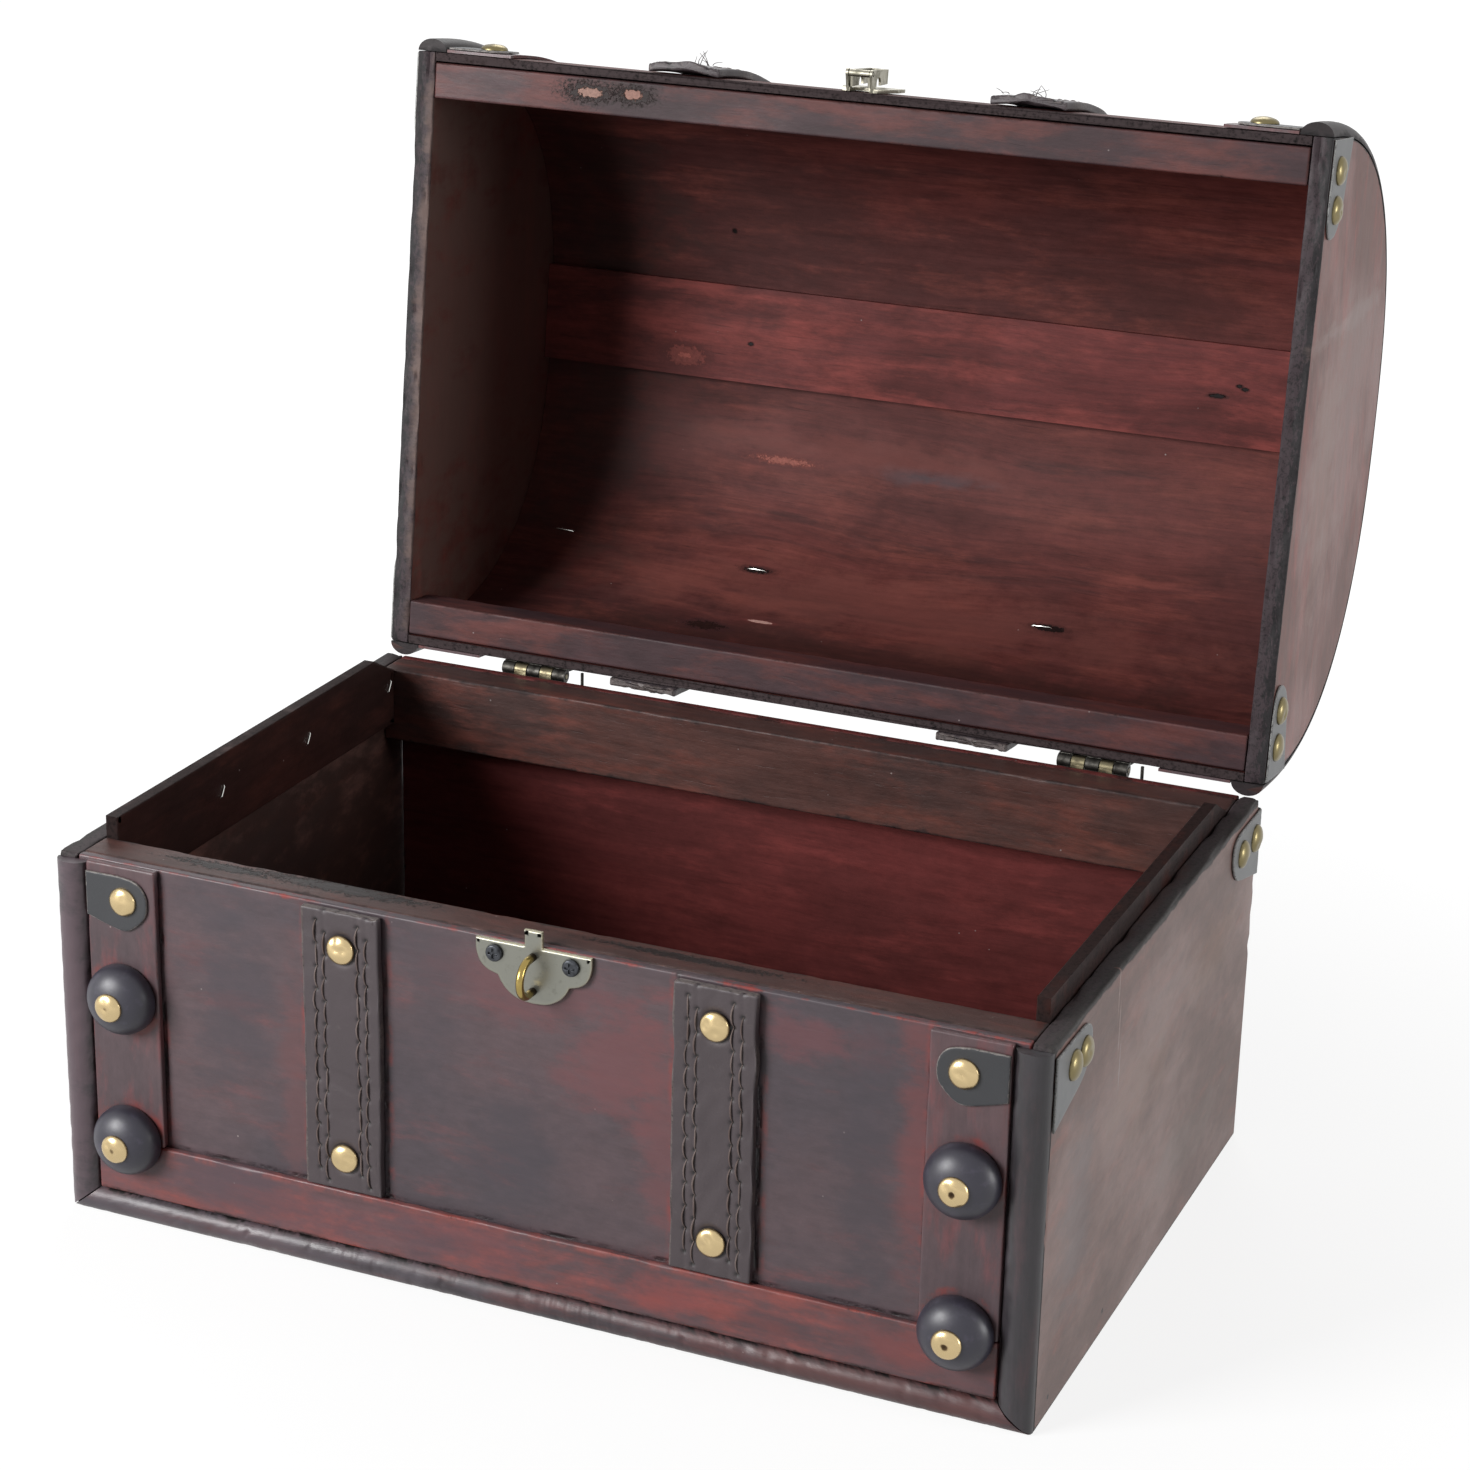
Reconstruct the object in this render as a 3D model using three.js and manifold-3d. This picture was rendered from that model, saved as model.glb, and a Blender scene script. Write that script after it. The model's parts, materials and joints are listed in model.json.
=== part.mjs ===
// A small wooden treasure chest with a domed lid, shown with the lid standing open.
// Units are millimetres, +Z is up, the front faces -Y and the origin is under the middle of the box.

import * as THREE from 'three';
import { mergeVertices } from 'three/addons/utils/BufferGeometryUtils.js';
import Module from 'manifold-3d';

const wasm = await Module();
wasm.setup();

// Box
const boxWidth = 340;
const boxDepth = 220;
const baseHeight = 128;
const sideWall = 7;
const panelSkin = 3;
const floorBoard = 6;
const seatGap = 0.3;
const rimGap = 0.5;

// Rails and guide lips inside the rim
const topRailThickness = 13;
const topRailHeight = 28;
const lipThickness = 4.5;
const lipBelow = 21;
const lipAbove = 7.5;
const lipEndLength = 14;

// Lid
const lidHeight = 112;
const domeExponent = 2.5;
const domeSteps = 32;
const lidRailHeight = 16;
const slatDepth = 37;
const slatThickness = 4.5;
const ridgeForward = 7;
const lidBandThickness = 1;
const openAngle = 97;

// Front frame and mouldings
const mouldingWidth = 11.5;
const mouldingProud = 4.5;
const mouldingTopDrop = 1.5;
const mouldingSides = 8;
const bottomMouldingHeight = 9.5;
const stileWidth = 25.7;
const stileThickness = 2.5;
const bottomRailHeight = 19.5;

// Straps and round-headed tacks
const strapWidth = 27.5;
const strapThickness = 3;
const strapOffsetShare = 0.189;
const strapTopDrop = 0.8;
const strapTackShares = [0.105, 0.676];
const tackRadius = 4.9;
const tackHeight = 2.4;
const tackSink = 0.5;
const tackRows = 4;
const roundSides = 16;

// Turned buttons
const buttonRadius = 12;
const buttonHeight = 10;
const buttonEdge = 2;
const buttonRows = 5;
const buttonDropShares = [0.36, 0.758];

// Corner leathers. The outlines are pairs of reach from the corner and drop from the top edge.
const leatherThickness = 0.7;
const lidLeatherThickness = 0.6;
const leatherRimDrop = 3.5;
const lidLeatherRise = 1;
const leatherTackDrop = 8.4;
const frontLeatherOutline = [[12, 0.1], [18, -0.8], [21.2, -3.2], [22.7, -7.4], [21.6, -13.2], [15.1, -18.6],
  [7.2, -17.4]];
const frontLeatherRoot = 15.2;
const frontTackReach = 14;
const sideLeatherOutline = [[22, 0.1], [28, -0.4], [31.8, -2.4], [33.2, -6], [31.6, -12], [25.5, -17.3],
  [12, -21]];
const sideLeatherRoot = 24;
const sideLeatherInset = 0.6;
const sideTackReaches = [15.5, 26];
const lidSideTackReaches = [10.4, 23.4];
const rearTackReaches = [7, 23];
const lidRearTackReaches = [11, 24];
const backReachShare = 0.72;
const outlineSteps = 3;

// Hinges
const hingeOffsetShare = 0.3206;
const hingeWidth = 26;
const hingeStandOff = 3;
const hingeLift = 1;
const knuckleRadius = 2.5;
const knuckleCount = 5;
const knuckleGap = 0.3;
const hingePinRadius = 1;
const boreGap = 0.3;
const leafHeight = 11;
const leafThickness = 1.2;
const leafClearance = 0.4;
const hingeSides = 14;

// Latch on the base
const latchCentre = 2.4;
const latchWidth = 39.6;
const latchHeight = 19;
const latchThickness = 1.4;
const latchBevel = 0.5;
const latchBevelReach = 0.8;
const latchTabWidth = 6.1;
const latchTabHeight = 5.5;
const stapleWire = 1.3;
const stapleRadius = 5.75;
const stapleLeg = 3.3;
const stapleDrop = 8.8;
const stapleSteps = 22;
const stapleSides = 8;
const screwReach = 13.1;
const screwDrop = 4;
const screwHeadRadius = 2.9;
const screwHeadHeight = 1.2;
const recessWidth = 0.8;
const recessLength = 3.4;
const recessDepth = 0.7;

// Hasp on the lid
const haspPlateThickness = 1.2;
const haspPlateWidth = 20.6;
const haspPlateHeight = 18;
const haspRimGap = 0.3;
const haspFoot = 13;
const haspShoulder = 11;
const tabSlotGap = 0.6;
const tabSlotOver = 0.9;
const haspPivotRise = -0.4;
const haspPivotStandOff = 6.4;
const haspPinRadius = 0.6;
const haspEarInner = 4;
const haspEarThickness = 0.9;
const haspEarRadius = 1.4;
const haspEarFoot = 3.2;
const flapHalfWidth = 3.7;
const flapSheet = 0.9;
const flapBarrel = 1.25;
const flapStep = 0.1;
const flapCheekDepth = 4.8;
const flapTaper = 0.9;
const flapLength = 18;
const slotStart = 1.5;
const slotEnd = 16.7;
const slotHalfWidth = 2.35;
const shackleNotchCentre = 9.2;
const shackleNotchRadius = 2;
const shackleNotchFloor = 1.3;

// Places worked out from the sizes above
const halfWidth = boxWidth / 2;
const halfDepth = boxDepth / 2;
const innerHalf = halfWidth - sideWall - seatGap;
const railInner = halfDepth - panelSkin - seatGap - topRailThickness;
const faceY = -halfDepth - seatGap;
const stileFaceY = faceY - stileThickness - seatGap;
const stileInner = halfWidth - mouldingWidth - seatGap - stileWidth;
const stileCentre = stileInner + stileWidth / 2;
const axisY = halfDepth + hingeStandOff;
const axisZ = baseHeight + hingeLift;
const rimZ = baseHeight + rimGap;
const latchFaceY = faceY - latchThickness;
const strapOffset = strapOffsetShare * boxWidth;
const hingeOffset = hingeOffsetShare * boxWidth;

const colours = {
  panel: [0x5c4246, 0.5, 0],
  side: [0x6b5550, 0.5, 0],
  inside: [0x4a2a28, 0.6, 0],
  rail: [0x6a4644, 0.55, 0],
  slat: [0x743834, 0.55, 0],
  moulding: [0x45403f, 0.45, 0],
  leather: [0x555052, 0.6, 0],
  button: [0x2f2f35, 0.35, 0],
  latch: [0x9a988a, 0.35, 1],
  staple: [0xb5a06a, 0.3, 1],
  screw: [0x8d8d90, 0.35, 1],
  hinge: [0x6b6450, 0.4, 1],
};

// Adds one named solid to a group, with a material of its own.
function piece(group, name, geometry, finish, x = 0, y = 0, z = 0) {
  const [color, roughness, metalness] = colours[finish];
  const material = new THREE.MeshStandardMaterial({ color, roughness, metalness });
  const mesh = new THREE.Mesh(geometry, material);
  mesh.name = name;
  mesh.position.set(x, y, z);
  group.add(mesh);
  return mesh;
}

// A block given by its lowest and highest corners.
function block(x0, y0, z0, x1, y1, z1) {
  const geometry = new THREE.BoxGeometry(x1 - x0, y1 - y0, z1 - z0);
  return geometry.translate((x0 + x1) / 2, (y0 + y1) / 2, (z0 + z1) / 2);
}

// A flat shape drawn as (x, z), given thickness towards -Y, with its back at y = 0.
function frontPlate(shape, thickness, curveSegments = roundSides / 2) {
  const geometry = new THREE.ExtrudeGeometry(shape, { depth: thickness, bevelEnabled: false, curveSegments });
  return geometry.rotateX(Math.PI / 2);
}

// A flat shape drawn as (y, z), given thickness towards +X, with its left face at x = 0.
function sidePlate(shape, thickness, curveSegments = roundSides / 2) {
  const geometry = new THREE.ExtrudeGeometry(shape, { depth: thickness, bevelEnabled: false, curveSegments });
  const turn = new THREE.Matrix4().makeBasis(
    new THREE.Vector3(0, 1, 0), new THREE.Vector3(0, 0, 1), new THREE.Vector3(1, 0, 0));
  return geometry.applyMatrix4(turn);
}

function polygon(points) {
  return new THREE.Shape(points.map(([x, y]) => new THREE.Vector2(x, y)));
}

// The same solid seen in a mirror across x = 0, with its faces still pointing out.
function mirrored(geometry) {
  const copy = geometry.index ? geometry.toNonIndexed() : geometry.clone();
  copy.scale(-1, 1, 1);
  const place = copy.attributes.position;
  const second = new THREE.Vector3();
  const third = new THREE.Vector3();
  for (let i = 0; i < place.count; i += 3) {
    second.fromBufferAttribute(place, i + 1);
    third.fromBufferAttribute(place, i + 2);
    place.setXYZ(i + 1, third.x, third.y, third.z);
    place.setXYZ(i + 2, second.x, second.y, second.z);
  }
  copy.deleteAttribute('uv');
  copy.computeVertexNormals();
  return copy;
}

// A closed three.js geometry as a solid that can be cut and joined.
function solid(geometry) {
  const bare = geometry.clone();
  bare.deleteAttribute('normal');
  bare.deleteAttribute('uv');
  const merged = mergeVertices(bare, 1e-4);
  const corners = [];
  const index = merged.index.array;
  for (let i = 0; i < index.length; i += 3) {
    const [a, b, c] = index.slice(i, i + 3);
    if (a !== b && b !== c && c !== a) corners.push(a, b, c);
  }
  const vertProperties = new Float32Array(merged.attributes.position.array);
  return new wasm.Manifold(new wasm.Mesh({ numProp: 3, vertProperties, triVerts: new Uint32Array(corners) }));
}

function geometryOf(body) {
  const mesh = body.getMesh();
  const geometry = new THREE.BufferGeometry();
  geometry.setAttribute('position', new THREE.BufferAttribute(new Float32Array(mesh.vertProperties), 3));
  geometry.setIndex(new THREE.BufferAttribute(new Uint32Array(mesh.triVerts), 1));
  geometry.computeVertexNormals();
  return geometry;
}

function joined(...geometries) {
  return geometryOf(geometries.map(solid).reduce((whole, next) => whole.add(next)));
}

function cut(geometry, ...tools) {
  return geometryOf(tools.map(solid).reduce((whole, next) => whole.subtract(next), solid(geometry)));
}

// Joins rings of equal count into one closed body; each ring is convex and runs anticlockwise
// when seen from the far end.
function loft(rings) {
  const count = rings[0].length;
  const places = rings.flat().flatMap((point) => [point.x, point.y, point.z]);
  const faces = [];
  for (let r = 0; r < rings.length - 1; r += 1) {
    for (let i = 0; i < count; i += 1) {
      const a = r * count + i;
      const b = r * count + ((i + 1) % count);
      faces.push(a, b, b + count, a, b + count, a + count);
    }
  }
  const last = (rings.length - 1) * count;
  for (let i = 1; i < count - 1; i += 1) {
    faces.push(0, i + 1, i, last, last + i, last + i + 1);
  }
  const geometry = new THREE.BufferGeometry();
  geometry.setAttribute('position', new THREE.Float32BufferAttribute(places, 3));
  geometry.setIndex(faces);
  geometry.computeVertexNormals();
  return geometry;
}

// A round bar along X, centred on (x, y, z).
function barX(radius, length, x, y, z, sides = hingeSides) {
  return new THREE.CylinderGeometry(radius, radius, length, sides).rotateZ(Math.PI / 2).translate(x, y, z);
}

// The half-round section of a moulding as pairs of width and stand-off.
function halfRound(width, proud) {
  const section = [];
  for (let i = 0; i <= mouldingSides; i += 1) {
    const turn = Math.PI * i / mouldingSides;
    section.push([width / 2 - Math.cos(turn) * width / 2, Math.sin(turn) * proud]);
  }
  return section;
}

// A round-headed tack standing on the plane y = 0, head towards -Y.
function tack() {
  const profile = [new THREE.Vector2(0, -tackSink), new THREE.Vector2(tackRadius, -tackSink)];
  for (let i = 0; i < tackRows; i += 1) {
    const turn = Math.PI / 2 * i / tackRows;
    profile.push(new THREE.Vector2(tackRadius * Math.cos(turn), tackHeight * Math.sin(turn)));
  }
  profile.push(new THREE.Vector2(0, tackHeight));
  return new THREE.LatheGeometry(profile, roundSides).rotateX(Math.PI);
}

// A turned wooden button with its tack, standing on the plane y = 0, dome towards -Y.
function button() {
  const profile = [new THREE.Vector2(0, 0), new THREE.Vector2(buttonRadius, 0)];
  for (let i = 0; i < buttonRows; i += 1) {
    const turn = Math.PI / 2 * i / buttonRows;
    const rise = buttonEdge + (buttonHeight - buttonEdge) * Math.sin(turn);
    profile.push(new THREE.Vector2(buttonRadius * Math.cos(turn), rise));
  }
  profile.push(new THREE.Vector2(0, buttonHeight));
  const turned = new THREE.LatheGeometry(profile, roundSides + roundSides / 2).rotateX(Math.PI);
  return joined(turned, tack().translate(0, -buttonHeight + tackSink, 0));
}

// A point of the dome's outline as (y, z), a superellipse from the front rim (turn 0) over the
// crown to the back rim (turn pi), drawn in by inset.
function domePoint(turn, inset = 0) {
  const power = 2 / domeExponent;
  const across = -Math.sign(Math.cos(turn)) * Math.abs(Math.cos(turn)) ** power;
  const up = Math.max(Math.sin(turn), 0) ** power;
  return new THREE.Vector2((halfDepth - inset) * across, (lidHeight - inset) * up);
}

// The turn at which the outline reaches the depth y.
function turnAt(y, inset = 0) {
  const share = Math.min(Math.abs(y) / (halfDepth - inset), 1) ** (domeExponent / 2);
  return y < 0 ? Math.acos(share) : Math.PI - Math.acos(share);
}

// The half depth of the dome at a height above the rim.
function domeReach(rise, inset = 0) {
  const share = (rise / (lidHeight - inset)) ** domeExponent;
  return (halfDepth - inset) * (1 - share) ** (1 / domeExponent);
}

// How far the dome's front leans back at a height above the rim, in radians.
function domeLean(rise) {
  const step = lidHeight / domeSteps;
  return Math.atan2(domeReach(rise) - domeReach(rise + step), step);
}

function domeArc(from, to, inset) {
  const arc = [];
  for (let i = 0; i <= domeSteps; i += 1) {
    arc.push(domePoint(from + (to - from) * i / domeSteps, inset));
  }
  return arc;
}

// A band that follows the dome from rim to rim, from outset to outset plus thickness outside it.
function domeBand(outset, thickness, width) {
  const outer = domeArc(0, Math.PI, -outset - thickness);
  const inner = domeArc(Math.PI, 0, -outset);
  return sidePlate(new THREE.Shape([...outer, ...inner].reverse()), width);
}

// A leather drawn as (reach, rise): a straight root at reach 0, a straight top and a rounded nose.
function leatherShape(outline, root, reachShare = 1) {
  const places = outline.map(([reach, rise]) => new THREE.Vector2(reach * reachShare, rise));
  const curve = new THREE.SplineCurve([...places, new THREE.Vector2(0, -root)]);
  const shape = new THREE.Shape([new THREE.Vector2(0, 0), ...curve.getPoints(outline.length * outlineSteps)]);
  shape.closePath();
  return shape;
}

// Leather on a front face, root at x = 0 and reaching towards +X, back at y = 0, top at z = 0.
function frontLeather(thickness) {
  const sheet = frontPlate(leatherShape(frontLeatherOutline, frontLeatherRoot), thickness);
  return joined(sheet, tack().translate(frontTackReach, -thickness, -leatherTackDrop));
}

// Leather on the right side face, root at y = 0 and reaching towards +Y, back at x = 0, top at z = 0.
function sideLeather(thickness, reaches) {
  const sheet = sidePlate(leatherShape(sideLeatherOutline, sideLeatherRoot), thickness);
  const heads = reaches.map((reach) => tack().rotateZ(Math.PI / 2).translate(thickness, reach, -leatherTackDrop));
  return joined(sheet, ...heads);
}

// Turned upside down for the lid, where the leather's top edge faces the rim.
function flippedUp(geometry) {
  const copy = mirrored(geometry);
  return copy.rotateZ(Math.PI).rotateX(Math.PI);
}

const base = new THREE.Group();

function buildBaseCase() {
  const right = halfWidth - sideWall;
  const panelHalf = right - seatGap;
  const side = block(right, -halfDepth, 0, halfWidth, halfDepth, baseHeight);
  piece(base, 'right_side_panel', side, 'side');
  piece(base, 'left_side_panel', mirrored(side), 'side');
  const front = block(-panelHalf, -halfDepth, 0, panelHalf, -halfDepth + panelSkin, baseHeight);
  const back = block(-panelHalf, halfDepth - panelSkin, 0, panelHalf, halfDepth, baseHeight);
  piece(base, 'front_panel', front, 'panel');
  piece(base, 'back_panel', back, 'panel');
  const floorHalf = halfDepth - panelSkin - seatGap;
  piece(base, 'bottom_panel', block(-panelHalf, -floorHalf, 0, panelHalf, floorHalf, floorBoard), 'inside');
}

function buildBaseRails() {
  const low = baseHeight - topRailHeight;
  const outer = railInner + topRailThickness;
  piece(base, 'front_top_rail', block(-innerHalf, -outer, low, innerHalf, -railInner, baseHeight), 'rail');
  piece(base, 'back_top_rail', block(-innerHalf, railInner, low, innerHalf, outer, baseHeight), 'rail');
  const end = railInner - seatGap;
  const lipShape = polygon([
    [-end, baseHeight - lipBelow], [end, baseHeight - lipBelow], [end, baseHeight],
    [end - lipEndLength, baseHeight + lipAbove], [-end, baseHeight + lipAbove]]);
  const lip = sidePlate(lipShape, lipThickness).translate(innerHalf - lipThickness, 0, 0);
  piece(base, 'right_guide_lip', lip, 'rail');
  piece(base, 'left_guide_lip', mirrored(lip), 'rail');
}

// The rail runs from corner to corner, and the stiles stand on it.
function buildFrontFrame() {
  const low = bottomMouldingHeight + seatGap;
  const face = faceY - stileThickness;
  const railTop = low + bottomRailHeight;
  const railHalf = stileInner + stileWidth;
  piece(base, 'bottom_rail', block(-railHalf, face, low, railHalf, faceY, railTop), 'panel');
  const stile = block(stileInner, face, railTop + seatGap, railHalf, faceY, baseHeight - seatGap);
  piece(base, 'right_stile', stile, 'panel');
  piece(base, 'left_stile', mirrored(stile), 'panel');
}

// Half-round mouldings up both corners and along the bottom, mitred where they meet.
function buildBaseMouldings() {
  const mitre = bottomMouldingHeight / mouldingWidth;
  const section = halfRound(mouldingWidth, mouldingProud);
  const top = baseHeight - mouldingTopDrop;
  const foot = section.map(([s, h]) => new THREE.Vector3(-halfWidth + s, faceY - h, s * mitre + seatGap));
  const head = section.map(([s, h]) => new THREE.Vector3(-halfWidth + s, faceY - h, top));
  const corner = loft([foot, head]);
  piece(base, 'left_corner_moulding', corner, 'moulding');
  piece(base, 'right_corner_moulding', mirrored(corner), 'moulding');
  const lower = halfRound(bottomMouldingHeight, mouldingProud);
  const endAt = (s) => halfWidth - s / mitre - seatGap;
  const leftEnd = lower.map(([s, h]) => new THREE.Vector3(-endAt(s), faceY - h, s));
  const rightEnd = lower.map(([s, h]) => new THREE.Vector3(endAt(s), faceY - h, s));
  piece(base, 'bottom_moulding', loft([leftEnd.reverse(), rightEnd.reverse()]), 'moulding');
}

function buildBaseStraps() {
  const low = bottomMouldingHeight + bottomRailHeight + seatGap + seatGap;
  const high = baseHeight - strapTopDrop;
  const strip = block(-strapWidth / 2, -strapThickness, low, strapWidth / 2, 0, high);
  const heads = strapTackShares.map((share) => tack()
    .translate(0, -strapThickness, baseHeight - share * baseHeight));
  const strap = joined(strip, ...heads);
  piece(base, 'left_strap', strap, 'leather', -strapOffset, faceY, 0);
  piece(base, 'right_strap', strap.clone(), 'leather', strapOffset, faceY, 0);
}

function buildBaseButtons() {
  const names = ['upper', 'lower'];
  names.forEach((row, i) => {
    const height = baseHeight - buttonDropShares[i] * baseHeight;
    piece(base, `left_${row}_button`, button(), 'button', -stileCentre, stileFaceY, height);
    piece(base, `right_${row}_button`, button(), 'button', stileCentre, stileFaceY, height);
  });
}

// The leather that wraps a rear corner: one leg on the right side, one on the back.
function rearLeather() {
  const wrap = seatGap + leatherThickness;
  const shape = leatherShape(sideLeatherOutline, sideLeatherRoot);
  const sideLeg = sidePlate(shape, leatherThickness).rotateX(Math.PI).rotateY(Math.PI)
    .translate(halfWidth + wrap, halfDepth + wrap, 0);
  const backShape = leatherShape(sideLeatherOutline, sideLeatherRoot, backReachShare);
  const backLeg = frontPlate(backShape, leatherThickness).rotateZ(Math.PI)
    .translate(halfWidth + wrap, halfDepth + seatGap, 0);
  const heads = rearTackReaches.map((reach) => tack().rotateZ(Math.PI / 2)
    .translate(halfWidth + wrap, halfDepth - reach, -leatherTackDrop));
  return joined(sideLeg, backLeg, ...heads);
}

function buildBaseLeathers() {
  const top = baseHeight - leatherRimDrop;
  const root = halfWidth - mouldingWidth - seatGap - seatGap;
  const front = frontLeather(leatherThickness);
  piece(base, 'left_front_leather', front, 'leather', -root, stileFaceY, top);
  piece(base, 'right_front_leather', mirrored(front), 'leather', root, stileFaceY, top);
  const sideX = halfWidth + seatGap;
  const sideRoot = -halfDepth + sideLeatherInset;
  const side = sideLeather(leatherThickness, sideTackReaches);
  piece(base, 'right_side_leather', side, 'leather', sideX, sideRoot, top);
  piece(base, 'left_side_leather', mirrored(side), 'leather', -sideX, sideRoot, top);
  const rear = rearLeather();
  piece(base, 'right_rear_leather', rear, 'leather', 0, 0, top);
  piece(base, 'left_rear_leather', mirrored(rear), 'leather', 0, 0, top);
}

// The latch plate as (x, z) about its middle, top at z = 0: two winged ears, a round chin and a tab.
// The right edge is listed as pairs of shares of the half width and of the height.
const wingOutline = [[1, 0], [1, -0.21], [0.93, -0.42], [0.8, -0.54], [0.62, -0.6]];
const chinOutline = [[0.62, -0.6], [0.56, -0.72], [0.44, -0.86], [0.24, -0.97], [0, -1]];

function latchOutline() {
  const place = ([across, down]) => new THREE.Vector2(across * latchWidth / 2, down * latchHeight);
  const curve = (outline) => new THREE.SplineCurve(outline.map(place)).getPoints(outline.length * outlineSteps);
  const rightEdge = [...curve(wingOutline), ...curve(chinOutline).slice(1)];
  const leftEdge = rightEdge.slice(0, -1).reverse().map(({ x, y }) => new THREE.Vector2(-x, y));
  const tab = latchTabWidth / 2;
  const tabEdge = [[-tab, 0], [-tab, latchTabHeight], [tab, latchTabHeight], [tab, 0]];
  const shape = new THREE.Shape([...rightEdge, ...leftEdge,
    ...tabEdge.map(([x, y]) => new THREE.Vector2(x, y))].reverse());
  for (const drop of [stapleDrop - stapleRadius, stapleDrop + stapleRadius]) {
    const hole = new THREE.Path();
    hole.absarc(0, -drop, stapleWire + boreGap, 0, 2 * Math.PI, true);
    shape.holes.push(hole);
  }
  return shape;
}

// The staple's centre line in the plane x = 0: a leg out, a half circle down and a leg back.
class StapleLine extends THREE.Curve {
  getPoint(share, target = new THREE.Vector3()) {
    const leg = stapleLeg + latchThickness;
    const bend = Math.PI * stapleRadius;
    const along = share * (leg + bend + leg);
    if (along < leg) return target.set(0, -along, stapleRadius);
    if (along > leg + bend) return target.set(0, along - leg - bend - leg, -stapleRadius);
    const turn = (along - leg) / stapleRadius;
    return target.set(0, -leg - stapleRadius * Math.sin(turn), stapleRadius * Math.cos(turn));
  }
}

function screwHead() {
  const profile = [new THREE.Vector2(0, 0), new THREE.Vector2(screwHeadRadius, 0)];
  for (let i = 1; i < tackRows; i += 1) {
    const turn = Math.PI / 2 * i / tackRows;
    profile.push(new THREE.Vector2(screwHeadRadius * Math.cos(turn / 2), screwHeadHeight * Math.sin(turn)));
  }
  profile.push(new THREE.Vector2(0, screwHeadHeight));
  const head = new THREE.LatheGeometry(profile, roundSides).rotateX(Math.PI);
  const deep = -screwHeadHeight - seatGap;
  const high = recessDepth - screwHeadHeight;
  const wide = recessWidth / 2;
  const long = recessLength / 2;
  return cut(head, block(-long, deep, -wide, long, high, wide), block(-wide, deep, -long, wide, high, long));
}

function buildLatch() {
  const top = baseHeight - seatGap;
  const plate = new THREE.ExtrudeGeometry(latchOutline(), {
    depth: latchThickness - latchBevel - latchBevel,
    bevelThickness: latchBevel,
    bevelSize: latchBevelReach,
    bevelOffset: -latchBevelReach,
    bevelSegments: 2,
    curveSegments: roundSides / 2,
  });
  plate.rotateX(Math.PI / 2).translate(0, -latchBevel, 0);
  piece(base, 'latch_plate', plate, 'latch', latchCentre, faceY, top);
  const ring = new THREE.Shape().absarc(0, 0, stapleWire, 0, 2 * Math.PI, false);
  const staple = new THREE.ExtrudeGeometry(ring,
    { extrudePath: new StapleLine(), steps: stapleSteps, curveSegments: stapleSides / 2, bevelEnabled: false });
  piece(base, 'latch_staple', staple, 'staple', latchCentre, faceY, top - stapleDrop);
  const screwY = latchFaceY - seatGap;
  piece(base, 'left_latch_screw', screwHead(), 'screw', latchCentre - screwReach, screwY, top - screwDrop);
  piece(base, 'right_latch_screw', screwHead(), 'screw', latchCentre + screwReach, screwY, top - screwDrop);
}

// Knuckles of one leaf about the axis at y = 0, z = 0; the leaf lies on the plane y = -hingeStandOff.
const knucklePitch = hingeWidth / knuckleCount;

function knuckleMiddles(first) {
  const middles = [];
  for (let i = first; i < knuckleCount; i += 2) {
    middles.push((i + 1 / 2) * knucklePitch - hingeWidth / 2);
  }
  return middles;
}

// A hinge leaf that hangs down from its knuckles.
function hingeLeaf(first) {
  const back = seatGap - hingeStandOff;
  const clear = knuckleRadius + leafClearance;
  const half = hingeWidth / 2;
  const solids = [block(-half, back, -clear - leafHeight, half, back + leafThickness, -clear)];
  const length = knucklePitch - knuckleGap;
  for (const middle of knuckleMiddles(first)) {
    solids.push(barX(knuckleRadius, length, middle, 0, 0));
    solids.push(block(middle - length / 2, back, -clear - leafThickness,
      middle + length / 2, back + leafThickness, 0));
  }
  return solids;
}

function buildBaseHinges() {
  const pin = barX(hingePinRadius, hingeWidth, 0, 0, 0);
  const leaf = joined(...hingeLeaf(1), pin);
  piece(base, 'left_hinge_base_leaf', leaf, 'hinge', -hingeOffset, axisY, axisZ);
  piece(base, 'right_hinge_base_leaf', leaf.clone(), 'hinge', hingeOffset, axisY, axisZ);
}

// The lid turns about the hinge axis; inside it, z = 0 is its rim plane when it is shut.
const hingeLine = new THREE.Group();
hingeLine.position.set(0, axisY, axisZ);
hingeLine.rotation.x = -THREE.MathUtils.degToRad(openAngle);
const lid = new THREE.Group();
lid.position.set(0, -axisY, rimZ - axisZ);
hingeLine.add(lid);

function buildLidCase() {
  const outline = new THREE.Shape(domeArc(0, Math.PI, 0).reverse());
  const side = sidePlate(outline, sideWall).translate(halfWidth - sideWall, 0, 0);
  piece(lid, 'lid_right_side', side, 'side');
  piece(lid, 'lid_left_side', mirrored(side), 'side');

  const seam = seatGap / 2;
  const skin = (from, to) => {
    const outer = domeArc(from === 0 ? 0 : turnAt(from), to === 0 ? Math.PI : turnAt(to), 0);
    const inner = domeArc(to === 0 ? Math.PI : turnAt(to, panelSkin), from === 0 ? 0 : turnAt(from, panelSkin),
      panelSkin);
    return sidePlate(new THREE.Shape([...outer, ...inner].reverse()), innerHalf + innerHalf)
      .translate(-innerHalf, 0, 0);
  };
  piece(lid, 'dome_front_skin', skin(0, -ridgeForward - seam), 'panel');
  piece(lid, 'dome_back_skin', skin(-ridgeForward + seam, 0), 'panel');
}

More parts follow.
